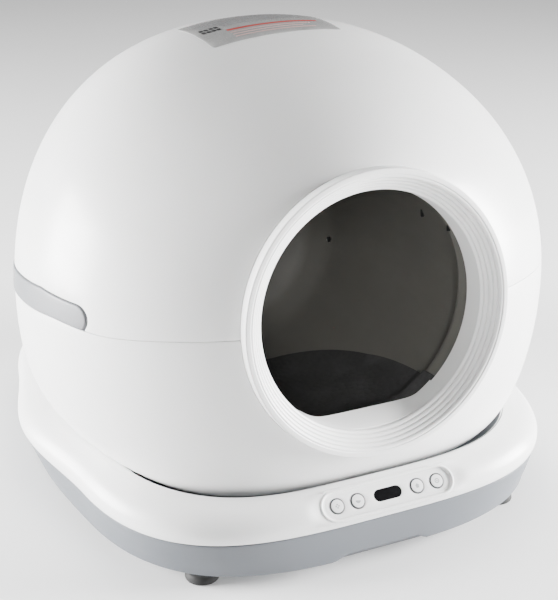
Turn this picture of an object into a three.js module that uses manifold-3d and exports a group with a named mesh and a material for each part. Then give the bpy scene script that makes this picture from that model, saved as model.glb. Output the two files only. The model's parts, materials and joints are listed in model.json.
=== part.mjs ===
// An automatic cat litter box: a globe-shaped hood and lower shell on a square base, with a litter drum
// that turns inside the globe on a tilted axis and drops the waste into a drawer in the base.
// Millimetres, +Z up, the front (the entrance) faces -Y.
import * as THREE from 'three';
import { mergeVertices } from 'three/addons/utils/BufferGeometryUtils.js';
import Module from 'manifold-3d';

const wasm = await Module();
wasm.setup();

// ---- Driving dimensions -------------------------------------------------------------------------
const GAP = 0.3; // clearance between pieces that touch on the real machine
const WALL = 3.5; // wall of the moulded base covers
const FAR = 400; // reaches past every piece

const GLOBE = {
  centreY: -45.6,
  centreZ: 212.8,
  halfWidth: 280,
  halfDepth: 236.6,
  halfHeight: 281.4,
  planPower: 2.155,
  sidePower: 2.165,
  lean: 0.195, // how far the crown leans back and up
  crownDrop: 26.6, // flattening of the crown
  squaring: 0.75, // how much squarer the belly's plan is where it enters the deck
  tuckX: 0.13, // how far the belly tucks in there
  tuckY: 0.05,
  tuckZ: 87,
  sinkPower: 5, // how late, going down, the squaring and the tuck set in
  leastTuck: 0.3,
  lowestDeg: -52, // latitude of the skin's lowest row
  brow: 25, // how far the skin swells forward over the top of the entrance
  browPower: 2.2,
  browReach: 250, // distance from the drum axis where that swelling ends
  browDepth: 80, // distance in front of the middle of the globe where it is at its full height
  wall: 4,
};

const SEAM = { span: 700, stepFrontS: 62, stepRearS: 150, rise: 8.5 };
const AXIS = { y: -255.1, z: 255.6, tiltDeg: 7.71 }; // drum axis, through the middle of the entrance
const RING = {
  outerR: 135.8,
  wallRear: 12, // the outer wall runs this far back into the globe
  tubeR: 114.5,
  tubeFront: 7.6,
  tubeRear: 30,
  lipFront: 9.6,
  lipWidth: 5.8,
  lipSide: 3, // how far behind its front the lip's outer edge starts to round
  lipRounding: [1.2, 3.4], // how far in from the outer radius the rounding has its two corners
  edgeDrop: 0.8, // how far behind its front the lip's two edges lie
  wall: 3.2,
  grooves: 5,
  grooveCorner: [0.35, 0.55], // corner of a groove, as shares of the step in radius and in depth
  taperLength: 5, // how far behind the last groove the wall reaches the tube's thickness
};
const SILL = { top: 101.5, rear: 31 };

const BASE = {
  floorZ: 14.3,
  seamZ: 54.9,
  halfWidth: 258.2,
  halfDepth: 284.2,
  power: 3.4,
  footHalfWidth: 254,
  footHalfDepth: 283.4,
  footPower: 3.06,
  bulge: 22, // how far each side swells out at its middle
  footBulge: 8, // the same at the foot
  bulgeY: 5,
  bulgeReach: 135,
};
// The deck's rounded shoulder as [z, half width, half depth].
const SHOULDER = [
  [66, 259.2, 285.6],
  [76, 254, 280.5],
  [83, 244, 270.5],
  [87, 232, 258.5],
];
const HOLE = { halfWidth: 228.5, frontY: -254.8, midY: 36, rearY: 176, power: 3.37 };
// The hand recess under the front edge of the base, as [x, z].
const NOTCH = [
  [-54, 12.3],
  [47, 12.3],
  [44, 20],
  [-38, 20],
];
const NOTCH_REAR_Y = -266;
const NOTCH_WALL = { leftX: -60, rightX: 54, frontY: -284, rearY: -260, topZ: 24 };

const CHASSIS = { bottomZ: 68.3, topZ: 75.7, halfWidth: 244, frontDepth: 266, rearDepth: 220 };
const BOARD_ROOM = { halfWidth: 85, rearY: -248 }; // cut out of the chassis for the panel's board
const SCREW = { x: 212, y: 118, shankR: 2, headR: 4.6, headHeight: 3, length: 22, postR: 7 };
const SHELL_FLOOR = { bottomZ: 76, topZ: 79 };
const WASTE_PORT = { halfWidth: 62, frontY: -100, rearY: 40 };

// The drum's wall as [radius, station]: its outside from the rear to the mouth, then its inside back.
const DRUM_OUTSIDE = [
  [0, 395],
  [40, 395],
  [80, 389],
  [112, 372],
  [128, 340],
  [148, 190],
  [148, 84],
  [125, 60],
  [125, 24],
];
const DRUM_INSIDE = [
  [122, 24],
  [122, 58],
  [145, 82],
  [145, 190],
  [125, 340],
  [109, 370],
  [78, 385.5],
  [40, 391],
  [0, 391],
];
const DRUM = { bodyR: 148, rearS: 395 };
// The gate the waste falls through, as [clock angle, radius], and the stations it lies between.
const GATE = [
  [-6, 60],
  [-6, 200],
  [16, 220],
  [36, 200],
  [36, 60],
];
const GATE_SPAN = { frontS: 195, rearS: 290 };
const SENSOR_HOLE = { x: 105, y: -17, s: 341, r: 3.5, reach: 60 };
// Two vents in the drum's wall, each as opposite corners in the axis frame.
const VENTS = [
  [[118, 43, -149], [170, 55, -144]],
  [[100, 50, -54], [130, 60, -50]],
];
const MAT = {
  stations: [36, 58, 82, 120, 160, 200, 235, 260, 276, 283],
  fullS: 90, // the mat narrows from here to its last station
  halfAngleDeg: 43,
  endHalfAngleDeg: 0.5,
  roundness: 2.3,
  gap: 0.7,
  thick: 2.5,
};
const SIEVE = {
  turnDeg: 55,
  halfWidth: 84,
  height: 90, // distance from the drum axis
  thick: 2.5,
  frontS: 128,
  rearS: 300,
  slotRows: [[138, 208], [220, 290]], // front and rear stations
  slotsEachSide: 5,
  pitch: 14,
  slotHalfWidth: 4,
};
const TRACK = { outerR: 154, frontS: 88, rearS: 98 };
const GEAR = {
  module: 4.3,
  teeth: 72,
  pinionTeeth: 10,
  frontS: 112,
  rearS: 124,
  backlash: 0.25,
  addendum: 0.8, // in modules
  dedendum: 1.05,
  rootShare: 0.3, // half a tooth's width at its root and its tip, as shares of the pitch
  tipShare: 0.11,
};
const PINION_CLOCK_DEG = 230;
const PINION_SHAFT = { r: 4, frontS: 110, rearS: 127.6 };
const ROLLER = {
  r: 14,
  clockDeg: 142,
  frontS: 87,
  rearS: 99,
  play: 0.5,
  axleR: 3,
  axleOut: 4.5, // how far the axle stands out of each end of the roller
};
const ROLLER_BRACKET = { halfWidth: 11, cheek: 3, above: 8, below: 18, bottomY: -185 };
const HUB = {
  flangeR: 28,
  flangeRearS: 400,
  shaftR: 8,
  rearS: 424,
  bushR: 13,
  bushFrontS: 403.7,
  bushRearS: 416.3,
};
// The bracket that holds the rear bush, as [x, y] across the drum axis.
const REAR_BRACKET = [
  [-55, -160],
  [55, -160],
  [22, 6],
  [14, 18],
  [-14, 18],
  [-22, 6],
];
const REAR_BRACKET_SPAN = { frontS: 404, rearS: 416 };
// The gearbox and its foot as opposite corners; the box is turned to the pinion's clock angle.
const GEARBOX = [[-26, 152, -172], [26, 205, -128]];
const GEARBOX_FOOT = [[-165, -175, -166], [-125, -140, -134]];
const MOTOR = { distance: 178, r: 17, frontS: 172, rearS: 224, bossR: 6, bossOut: 4 };

const DRAWER = { halfWidth: 150, frontY: -190, bayRearY: 256, bottomZ: 18.3, topZ: 64, wall: 3 };
const DRAWER_OPENING = { halfWidth: 151.5, frontY: 240, bottomZ: 17.4, topZ: 66.5 };
const PULL = { halfWidth: 45, frontY: 262, height: 12 }; // finger recess under the drawer's front
const BAG_FRAME = { play: 1, frontY: -186, rearY: 255, width: 9, below: 1, height: 5 };
const RAIL = [[151.2, -185, 18.1], [157, 250, 30]];

// The side view of the rear tower, as [y, z].
const TOWER_SIDE = [
  [-22, 60],
  [-22, 86],
  [62, 109],
  [93, 113],
  [108, 150],
  [124, 184],
  [150, 203],
  [300, 203],
  [300, 60],
];
const TOWER = {
  halfWidth: 244,
  halfDepth: 279,
  wall: 4,
  globeGap: 4,
  sections: [[60, -4], [120, -2], [220, 0]], // [z, how far the plan is grown there]
};
const INLET = {
  x: -120,
  z: 112,
  r: 6,
  frontY: 246,
  rearY: 274,
  socketR: 3.2,
  socketY: 260,
  pinR: 1.1,
  pinRearY: 272,
  play: 0.4,
};
const MAIN_BOARD = {
  plate: [[-90, 236, 104], [90, 237.6, 172]],
  parts: [[[-60, 228, 118], [-30, 237, 140]], [[20, 231, 124], [56, 237, 160]]],
  pegXs: [-80, 80],
  pegZs: [112, 164],
  pegR: 3,
  pegRearY: 262,
};

const PANEL = {
  x: 7,
  y: -277,
  z: 75,
  leanDeg: 42,
  halfLength: 57.5,
  rimR: 15,
  rimHeight: 0.8,
  padDepth: 6,
  recessR: 12,
  recessDepth: 1.6,
  through: 10, // reaches through the panel
};
const BUTTON = {
  r: 7.4,
  proud: 0.8,
  depth: 7,
  flangeR: 8.8,
  flange: [-7.6, -6.4],
  xs: [-54.6, -32.5, 32.5, 54.6],
};
const DISPLAY = { halfLength: 9.2, r: 5.9, proud: 0.2, depth: 5 };
const CONTROL_BOARD = {
  plate: [[-66, -9, -12], [66, 9, -10.4]],
  driver: [[-14, -6, -10.6], [14, 6, -6.4]],
};

const FOOT = {
  frontX: 168,
  frontY: -230,
  rearX: 190,
  rearY: 205,
  r: 17,
  studR: 4,
  studTopZ: 18.2,
};
const LOAD_CELL = { halfLength: 16, halfWidth: 7, inward: 8, bottomZ: 18.5, topZ: 28.5 };
const GRIP = {
  frontY: -148,
  rearY: 118,
  centreZ: 254.5,
  fallFrom: -95, // behind this y the band falls like the seam
  fall: 0.1354,
  stations: [-40, 20, 70], // where the band's edges have their points between fallFrom and the rear
  halfHeight: 13.5,
  proud: 1.2,
  rearSlant: 6,
  cutFromX: 150,
  cutToX: 320,
};
const LABEL = { length: 152, width: 80, x: -2, y: 6, turnDeg: 6.8, thick: 0.6, cutFromZ: 300 };
const FRAME_SHIFT_Y = 1.32; // moves the middle of the bounding box over the origin

// ---- Materials ----------------------------------------------------------------------------------
const plastic = (color, roughness) => new THREE.MeshStandardMaterial({ color, roughness, metalness: 0 });
const metal = (color, roughness) => new THREE.MeshStandardMaterial({ color, roughness, metalness: 1 });
const WHITE = plastic(0xeceded, 0.38);
const SATIN_WHITE = plastic(0xdfe0e2, 0.5);
const GREY = plastic(0x9aa0a8, 0.5);
const GRIP_GREY = plastic(0x8d9098, 0.5);
const DARK = plastic(0x35332e, 0.6);
const BLACK = plastic(0x0c0c0d, 0.7);
const GLOSS_BLACK = plastic(0x050506, 0.12);
const RUBBER = plastic(0x161616, 0.85);
const NATURAL = plastic(0xcfcdc4, 0.5);
const BOARD = plastic(0x1f5a36, 0.55);
const STEEL = metal(0xb8babd, 0.35);
const LABEL_FILM = plastic(0xc9cbce, 0.25);

// ---- Solid helpers ------------------------------------------------------------------------------
function solid(geometry) {
  const bare = geometry.index ? geometry.toNonIndexed() : geometry.clone();
  bare.deleteAttribute('normal');
  bare.deleteAttribute('uv');
  const merged = mergeVertices(bare, 1e-4);
  const vertProperties = merged.attributes.position.array;
  const triVerts = new Uint32Array(merged.index.array);
  const made = new wasm.Manifold(new wasm.Mesh({ numProp: 3, vertProperties, triVerts }));
  if (made.volume() > 0) return made;
  // The faces point inwards, so every triangle is turned over.
  for (let i = 0; i < triVerts.length; i += 3) {
    [triVerts[i + 1], triVerts[i + 2]] = [triVerts[i + 2], triVerts[i + 1]];
  }
  return new wasm.Manifold(new wasm.Mesh({ numProp: 3, vertProperties, triVerts }));
}

function geometryOf(piece) {
  const { vertProperties, triVerts } = piece.getMesh();
  const geometry = new THREE.BufferGeometry();
  geometry.setAttribute('position', new THREE.BufferAttribute(vertProperties, 3));
  geometry.setIndex(new THREE.BufferAttribute(triVerts, 1));
  geometry.computeVertexNormals();
  return geometry;
}

// A box between two corners.
function block([x0, y0, z0], [x1, y1, z1]) {
  const geometry = new THREE.BoxGeometry(x1 - x0, y1 - y0, z1 - z0);
  return solid(geometry.translate((x0 + x1) / 2, (y0 + y1) / 2, (z0 + z1) / 2));
}

const slab = (z0, z1) => block([-FAR, -FAR, z0], [FAR, FAR, z1]);

// A cylinder along local Z.
function rod(radius, z0, z1, x = 0, y = 0, segments = 20) {
  const geometry = new THREE.CylinderGeometry(radius, radius, z1 - z0, segments);
  return solid(geometry.rotateX(Math.PI / 2).translate(x, y, (z0 + z1) / 2));
}

// A closed profile of [radius, z] points turned about local Z.
function turned(profile, segments) {
  const points = profile.map(([r, z]) => new THREE.Vector2(r, z));
  if (profile[0][0] > 0) points.push(points[0].clone());
  return solid(new THREE.LatheGeometry(points, segments).rotateX(Math.PI / 2));
}

// An outline of [x, y] points between two heights.
function prism(outline, z0, z1) {
  const shape = new THREE.Shape(outline.map(([x, y]) => new THREE.Vector2(x, y)));
  const geometry = new THREE.ExtrudeGeometry(shape, { depth: z1 - z0, bevelEnabled: false });
  return solid(geometry.translate(0, 0, z0));
}

// A shape with two straight sides and two round ends, along X.
function stadium(halfLength, radius, z0, z1, x = 0, y = 0) {
  const shape = new THREE.Shape();
  shape.absarc(x + halfLength, y, radius, -Math.PI / 2, Math.PI / 2);
  shape.absarc(x - halfLength, y, radius, Math.PI / 2, (3 * Math.PI) / 2);
  const options = { depth: z1 - z0, bevelEnabled: false, curveSegments: 12 };
  return solid(new THREE.ExtrudeGeometry(shape, options).translate(0, 0, z0));
}

function moved(piece, matrix) {
  return solid(geometryOf(piece).applyMatrix4(matrix));
}

const power = (value, exponent) => Math.sign(value) * Math.abs(value) ** exponent;

// A rounded-square outline. Its front and rear halves can have different depths.
function roundedSquare(halfWidth, frontDepth, rearDepth, middleY, exponent, firstStep = 0.5) {
  const count = 48;
  return Array.from({ length: count }, (_, i) => {
    const angle = (2 * Math.PI * (i + firstStep)) / count;
    const depth = Math.sin(angle) < 0 ? frontDepth : rearDepth;
    const x = halfWidth * power(Math.cos(angle), 2 / exponent);
    const y = middleY + depth * power(Math.sin(angle), 2 / exponent);
    return [x, y];
  });
}

// A closed skin through stacked outlines, each [z, points], from the bottom up.
function stack(sections) {
  const count = sections[0][1].length;
  const positions = [];
  for (const [z, points] of sections) {
    for (const [x, y] of points) positions.push(x, y, z);
  }
  const index = [];
  for (let row = 0; row + 1 < sections.length; row += 1) {
    for (let i = 0; i < count; i += 1) {
      const here = row * count + i;
      const next = row * count + ((i + 1) % count);
      index.push(here, next, next + count, here, next + count, here + count);
    }
  }
  const bottom = positions.length / 3;
  positions.push(0, 0, sections[0][0]);
  const top = bottom + 1;
  positions.push(0, 0, sections[sections.length - 1][0]);
  const last = (sections.length - 1) * count;
  for (let i = 0; i < count; i += 1) {
    const next = (i + 1) % count;
    index.push(bottom, next, i, top, last + i, last + next);
  }
  const geometry = new THREE.BufferGeometry();
  geometry.setAttribute('position', new THREE.Float32BufferAttribute(positions, 3));
  geometry.setIndex(index);
  return solid(geometry);
}

// ---- Frames -------------------------------------------------------------------------------------
// In the axis frame, +Z runs out of the entrance along the drum axis, +Y is up and X is to the right.
// A station s is a distance behind the entrance, so it lies at z = -s.
const tilt = THREE.MathUtils.degToRad(AXIS.tiltDeg);
const axisMatrix = new THREE.Matrix4()
  .makeTranslation(0, AXIS.y, AXIS.z)
  .multiply(new THREE.Matrix4().makeRotationX(Math.PI / 2 - tilt));
const axisInverse = axisMatrix.clone().invert();
const inWorld = (piece) => moved(piece, axisMatrix);
const inAxisFrame = (piece) => moved(piece, axisInverse);

// In the panel frame, +Z points out of the front panel, +X to the right and +Y up its slope.
const panelLean = THREE.MathUtils.degToRad(PANEL.leanDeg);
const panelMatrix = new THREE.Matrix4()
  .makeTranslation(PANEL.x, PANEL.y, PANEL.z)
  .multiply(new THREE.Matrix4().makeRotationX(Math.PI / 2 - panelLean));
const onPanel = (piece) => moved(piece, panelMatrix);

const group = new THREE.Group();
group.position.y = FRAME_SHIFT_Y;
const drumAxis = new THREE.Group();
drumAxis.applyMatrix4(axisMatrix);
group.add(drumAxis);
const frontPanel = new THREE.Group();
frontPanel.applyMatrix4(panelMatrix);
group.add(frontPanel);

function add(parent, name, piece, material) {
  const mesh = new THREE.Mesh(geometryOf(piece), material);
  mesh.name = name;
  parent.add(mesh);
}

// ---- Globe --------------------------------------------------------------------------------------
const smooth = (value) => {
  const share = Math.min(Math.max(value, 0), 1);
  return share * share * (3 - 2 * share);
};

// The front of the crown is pushed out along the drum axis, so that it meets the entrance ring.
function swellOverEntrance(point) {
  const local = point.clone().applyMatrix4(axisInverse);
  const radius = Math.hypot(local.x, local.y);
  const upward = Math.max(local.y / radius, 0);
  const reach = smooth((GLOBE.browReach - radius) / (GLOBE.browReach - RING.outerR));
  const front = smooth((GLOBE.centreY - point.y) / GLOBE.browDepth);
  local.z += GLOBE.brow * upward ** GLOBE.browPower * reach * front;
  return local.applyMatrix4(axisMatrix);
}

function globePoint(latitude, longitude, inset) {
  const round = power(Math.cos(latitude), 2 / GLOBE.sidePower);
  const unitZ = power(Math.sin(latitude), 2 / GLOBE.sidePower);
  const crown = Math.max(unitZ, 0);
  const tuckDepth = GLOBE.centreZ - GLOBE.tuckZ;
  const sunk = Math.max((-GLOBE.halfHeight * unitZ) / tuckDepth, 0) ** GLOBE.sinkPower;
  const planPower = GLOBE.planPower + GLOBE.squaring * sunk;
  const unitX = round * power(Math.cos(longitude), 2 / planPower);
  const unitY = round * power(Math.sin(longitude), 2 / planPower);
  const lean = GLOBE.lean * unitY * GLOBE.halfHeight * crown;
  const z = (GLOBE.halfHeight - inset) * unitZ + lean - GLOBE.crownDrop * crown ** 3;
  const depth = Math.max(-z / tuckDepth, 0) ** GLOBE.sinkPower;
  const tuckX = Math.max(1 - GLOBE.tuckX * depth, GLOBE.leastTuck);
  const tuckY = Math.max(1 - GLOBE.tuckY * depth, GLOBE.leastTuck);
  const x = (GLOBE.halfWidth - inset) * unitX * tuckX;
  const y = GLOBE.centreY + (GLOBE.halfDepth - inset) * unitY * tuckY;
  return swellOverEntrance(new THREE.Vector3(x, y, GLOBE.centreZ + z));
}

function globe(inset, around = 40, rows = 17) {
  const positions = [];
  const low = THREE.MathUtils.degToRad(GLOBE.lowestDeg);
  const high = Math.PI / 2;
  for (let row = 0; row < rows; row += 1) {
    const latitude = low + ((high - low) * row) / rows;
    for (let i = 0; i < around; i += 1) {
      positions.push(...globePoint(latitude, (2 * Math.PI * i) / around, inset));
    }
  }
  const bottom = positions.length / 3;
  positions.push(0, GLOBE.centreY, positions[2]);
  const top = bottom + 1;
  positions.push(...globePoint(high, 0, inset));
  const index = [];
  for (let i = 0; i < around; i += 1) {
    const next = (i + 1) % around;
    for (let row = 0; row + 1 < rows; row += 1) {
      const a = row * around + i;
      const b = row * around + next;
      index.push(a, b, b + around, a, b + around, a + around);
    }
    index.push(bottom, next, i, top, (rows - 1) * around + i, (rows - 1) * around + next);
  }
  const geometry = new THREE.BufferGeometry();
  geometry.setAttribute('position', new THREE.Float32BufferAttribute(positions, 3));
  geometry.setIndex(index);
  return solid(geometry);
}

// The side grips follow a band that crosses the joint between hood and lower shell.
function gripBand(grow) {
  const rise = (y) => GRIP.centreZ - GRIP.fall * Math.max(y - GRIP.fallFrom, 0);
  const half = GRIP.halfHeight + grow;
  const rearY = GRIP.rearY + grow;
  const slant = (y) => (y === rearY ? GRIP.rearSlant : 0);
  const steps = 8;
  const outline = [];
  for (let step = 0; step <= steps; step += 1) {
    const angle = Math.PI / 2 + (Math.PI * step) / steps;
    outline.push([GRIP.frontY + half * Math.cos(angle), rise(GRIP.frontY) + half * Math.sin(angle)]);
  }
  const ys = [GRIP.fallFrom, ...GRIP.stations, rearY];
  for (const y of ys) outline.push([y, rise(y) - half]);
  ys.reverse();
  for (const y of ys) outline.push([y + slant(y), rise(y) + half]);
  const sideways = new THREE.Matrix4().makeBasis(
    new THREE.Vector3(0, 1, 0),
    new THREE.Vector3(0, 0, 1),
    new THREE.Vector3(1, 0, 0),
  );
  return moved(prism(outline, GRIP.cutFromX, GRIP.cutToX), sideways);
}

// The hood and the lower shell meet on the plane of the drum axis near the entrance. Along the sides
// the joint steps up to the bottom edge of the grips.
function seamSpace(side) {
  const { span, stepFrontS, stepRearS, rise } = SEAM;
  const edge = (s, height) => [-s, height + (side * GAP) / 2];
  const outline = [
    edge(-span, 0),
    edge(stepFrontS, 0),
    edge(stepRearS, rise),
    edge(span, rise),
    [-span, side * span],
    [span, side * span],
  ];
  const across = new THREE.Matrix4().makeBasis(
    new THREE.Vector3(0, 0, 1),
    new THREE.Vector3(0, 1, 0),
    new THREE.Vector3(-1, 0, 0),
  );
  return inWorld(moved(prism(outline, -span, span), across));
}
const aboveSeam = seamSpace(1);
const belowSeam = seamSpace(-1);
const mirrored = (piece) => piece.mirror([1, 0, 0]);
const bothSides = (piece) => piece.add(mirrored(piece));

function addGlobe() {
  const outer = globe(0);
  const inner = globe(GLOBE.wall, 32, 13);
  const entrance = inWorld(rod(RING.outerR + GAP, -2 * RING.tubeRear, 2 * RING.tubeRear, 0, 0, 48));
  const wall = outer.subtract(inner).subtract(entrance).subtract(bothSides(gripBand(GAP)));
  add(group, 'upper_shell', wall.intersect(aboveSeam), WHITE);

  const aboveFloor = slab(SHELL_FLOOR.bottomZ, 2 * FAR);
  const floorSlab = slab(SHELL_FLOOR.bottomZ, SHELL_FLOOR.topZ);
  const port = block(
    [-WASTE_PORT.halfWidth, WASTE_PORT.frontY, SHELL_FLOOR.bottomZ - 1],
    [WASTE_PORT.halfWidth, WASTE_PORT.rearY, SHELL_FLOOR.topZ + 1],
  );
  const lower = wall.intersect(belowSeam).intersect(aboveFloor);
  add(group, 'lower_shell', lower.add(outer.intersect(floorSlab)).subtract(port), WHITE);

  const gripSkin = globe(-GRIP.proud).subtract(globe(GLOBE.wall));
  const grip = gripSkin.intersect(gripBand(0));
  add(group, 'side_grip_right', grip, GRIP_GREY);
  add(group, 'side_grip_left', mirrored(grip), GRIP_GREY);

  const turn = new THREE.Matrix4().makeRotationZ(THREE.MathUtils.degToRad(LABEL.turnDeg));
  turn.setPosition(LABEL.x, LABEL.y, 0);
  const { length, width, cutFromZ, thick } = LABEL;
  const patch = block([-length / 2, -width / 2, cutFromZ], [length / 2, width / 2, 2 * FAR]);
  const film = globe(-GAP - thick).subtract(globe(-GAP)).intersect(moved(patch, turn));
  add(group, 'top_label', film, LABEL_FILM);
}

// ---- Entrance -----------------------------------------------------------------------------------
function addEntrance() {
  const { outerR, wallRear, tubeR, tubeFront, tubeRear, wall } = RING;
  const { lipFront, lipWidth, lipSide, lipRounding, edgeDrop, grooves, grooveCorner } = RING;
  const front = [
    [outerR, -wallRear],
    [outerR, lipFront - lipSide],
    [outerR - lipRounding[0], lipFront - edgeDrop],
    [outerR - lipRounding[1], lipFront],
    [outerR - lipWidth, lipFront - edgeDrop],
  ];
  const stepR = (outerR - lipWidth - tubeR) / grooves;
  const stepZ = (lipFront - edgeDrop + tubeFront) / grooves;
  for (let i = 1; i <= grooves; i += 1) {
    const r = outerR - lipWidth - i * stepR;
    const z = lipFront - edgeDrop - i * stepZ;
    front.push([r + grooveCorner[0] * stepR, z + grooveCorner[1] * stepZ]);
    front.push([r, z]);
  }
  const rear = [
    [tubeR, -tubeRear],
    [tubeR + wall, -tubeRear],
    [tubeR + wall, -tubeFront - RING.taperLength],
    [outerR - wall, -1],
    [outerR - wall, -wallRear],
  ];
  add(drumAxis, 'entrance_ring', turned([...front, ...rear], 44), WHITE);

  const tube = rod(tubeR - GAP, -SILL.rear, -tubeFront - 2, 0, 0, 48);
  const below = block([-FAR, -FAR, -FAR], [FAR, -SILL.top, 0]);
  add(drumAxis, 'entrance_sill', tube.intersect(below), WHITE);
}

// ---- Drum ---------------------------------------------------------------------------------------
// Radius of the drum's inner face at a station behind the entrance.
function drumInnerR(s) {
  const next = DRUM_INSIDE.findIndex(([, station]) => s <= station);
  const [radius1, station1] = DRUM_INSIDE[next];
  const [radius0, station0] = DRUM_INSIDE[next - 1];
  return radius0 + ((s - station0) / (station1 - station0)) * (radius1 - radius0);
}

// A sheet that follows the drum's inner face, as a closed grid of rows along s.
function drumLining(stations, halfAngleDeg, gap, thick) {
  const columns = 12;
  const rows = stations.map((s) => {
    const half = THREE.MathUtils.degToRad(halfAngleDeg(s));
    return Array.from({ length: columns + 1 }, (_, i) => {
      const angle = -half + (2 * half * i) / columns;
      const r = drumInnerR(s) - gap;
      const low = new THREE.Vector3(r * Math.sin(angle), -r * Math.cos(angle), -s);
      const high = new THREE.Vector3((r - thick) * Math.sin(angle), -(r - thick) * Math.cos(angle), -s);
      return [low, high];
    });
  });
  const positions = rows.flat(2).flatMap((point) => point.toArray());
  const at = (row, column, side) => (row * (columns + 1) + column) * 2 + side;
  const index = [];
  const face = (a, b, c, d) => index.push(a, b, c, a, c, d);
  const lastRow = rows.length - 1;
  for (let row = 0; row < lastRow; row += 1) {
    for (let i = 0; i < columns; i += 1) {
      face(at(row, i, 1), at(row, i + 1, 1), at(row + 1, i + 1, 1), at(row + 1, i, 1));
      face(at(row, i, 0), at(row + 1, i, 0), at(row + 1, i + 1, 0), at(row, i + 1, 0));
    }
    face(at(row, 0, 0), at(row, 0, 1), at(row + 1, 0, 1), at(row + 1, 0, 0));
    face(at(row, columns, 1), at(row, columns, 0), at(row + 1, columns, 0), at(row + 1, columns, 1));
  }
  for (let i = 0; i < columns; i += 1) {
    face(at(0, i, 0), at(0, i + 1, 0), at(0, i + 1, 1), at(0, i, 1));
    face(at(lastRow, i, 1), at(lastRow, i + 1, 1), at(lastRow, i + 1, 0), at(lastRow, i, 0));
  }
  const geometry = new THREE.BufferGeometry();
  geometry.setAttribute('position', new THREE.Float32BufferAttribute(positions, 3));
  geometry.setIndex(index);
  return solid(geometry);
}

function gearTeeth(teeth, z0, z1, phase) {
  const pitchR = (GEAR.module * teeth) / 2;
  const tipR = pitchR + GEAR.addendum * GEAR.module;
  const rootR = pitchR - GEAR.dedendum * GEAR.module;
  const pitchAngle = (2 * Math.PI) / teeth;
  const outline = [];
  for (let i = 0; i < teeth; i += 1) {
    const corner = (r, share) => {
      const angle = phase + (i + share) * pitchAngle;
      outline.push([r * Math.cos(angle), r * Math.sin(angle)]);
    };
    corner(rootR, -GEAR.rootShare);
    corner(tipR, -GEAR.tipShare);
    corner(tipR, GEAR.tipShare);
    corner(rootR, GEAR.rootShare);
  }
  return prism(outline, z0, z1);
}

// The point at a clock angle round the drum axis, seen from the front.
const clock = (degrees, radius) => {
  const angle = THREE.MathUtils.degToRad(degrees);
  return [radius * Math.sin(angle), radius * Math.cos(angle)];
};
const gearR = (GEAR.module * GEAR.teeth) / 2;
const pinionR = (GEAR.module * GEAR.pinionTeeth) / 2;
const pinionCentre = clock(PINION_CLOCK_DEG, gearR + pinionR + GEAR.backlash);
const pinionDirection = Math.atan2(pinionCentre[1], pinionCentre[0]);

function addDrum() {
  const { bodyR, rearS } = DRUM;
  const profile = [...DRUM_OUTSIDE, ...DRUM_INSIDE].map(([r, station]) => [r, -station]);
  const gateOutline = GATE.map(([degrees, radius]) => clock(degrees, radius));
  const gate = prism(gateOutline, -GATE_SPAN.rearS, -GATE_SPAN.frontS);
  const sideways = new THREE.Matrix4().makeRotationY(Math.PI / 2);
  sideways.setPosition(SENSOR_HOLE.x, SENSOR_HOLE.y, -SENSOR_HOLE.s);
  const sensorHole = moved(rod(SENSOR_HOLE.r, 0, SENSOR_HOLE.reach, 0, 0, 16), sideways);
  let shell = turned(profile, 48).subtract(gate).subtract(sensorHole);
  for (const [low, high] of VENTS) shell = shell.subtract(block(low, high));
  add(drumAxis, 'drum_shell', shell, DARK);

  const lastS = MAT.stations[MAT.stations.length - 1];
  const halfAngleDeg = (s) => {
    const along = Math.min(Math.max(s - MAT.fullS, 0) / (lastS - MAT.fullS), 1);
    return MAT.halfAngleDeg * (1 - along ** MAT.roundness) ** (1 / MAT.roundness) + MAT.endHalfAngleDeg;
  };
  add(drumAxis, 'drum_mat', drumLining(MAT.stations, halfAngleDeg, MAT.gap, MAT.thick), BLACK);

  addSieve();

  const gear = gearTeeth(GEAR.teeth, -GEAR.rearS, -GEAR.frontS, pinionDirection);
  const bore = rod(bodyR + GAP, -GEAR.rearS - 1, -GEAR.frontS + 1, 0, 0, 48);
  add(drumAxis, 'drum_gear_ring', gear.subtract(bore), NATURAL);

  const track = rod(TRACK.outerR, -TRACK.rearS, -TRACK.frontS, 0, 0, 64);
  const trackBore = rod(bodyR + GAP, -TRACK.rearS - 1, -TRACK.frontS + 1, 0, 0, 48);
  add(drumAxis, 'drum_track_ring', track.subtract(trackBore), NATURAL);

  const flange = rod(HUB.flangeR, -HUB.flangeRearS, -rearS - GAP);
  const shaft = rod(HUB.shaftR, -HUB.rearS, -HUB.flangeRearS + 1);
  add(drumAxis, 'drum_hub', flange.add(shaft), STEEL);
}

function addSieve() {
  const { turnDeg, halfWidth, height, thick, frontS, rearS } = SIEVE;
  const { slotRows, slotsEachSide, pitch, slotHalfWidth } = SIEVE;
  let sieve = block([-halfWidth, height, -rearS], [halfWidth, height + thick, -frontS]);
  for (let column = -slotsEachSide; column <= slotsEachSide; column += 1) {
    const x = column * pitch;
    for (const [front, rear] of slotRows) {
      const low = [x - slotHalfWidth, height - thick, -rear];
      const high = [x + slotHalfWidth, height + 2 * thick, -front];
      sieve = sieve.subtract(block(low, high));
    }
  }
  const turn = new THREE.Matrix4().makeRotationZ(THREE.MathUtils.degToRad(turnDeg));
  add(drumAxis, 'drum_sieve', moved(sieve, turn), DARK);
}

// ---- Drum support and drive ---------------------------------------------------------------------
const shellFloorSpace = inAxisFrame(slab(-FAR, SHELL_FLOOR.topZ + GAP));

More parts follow.
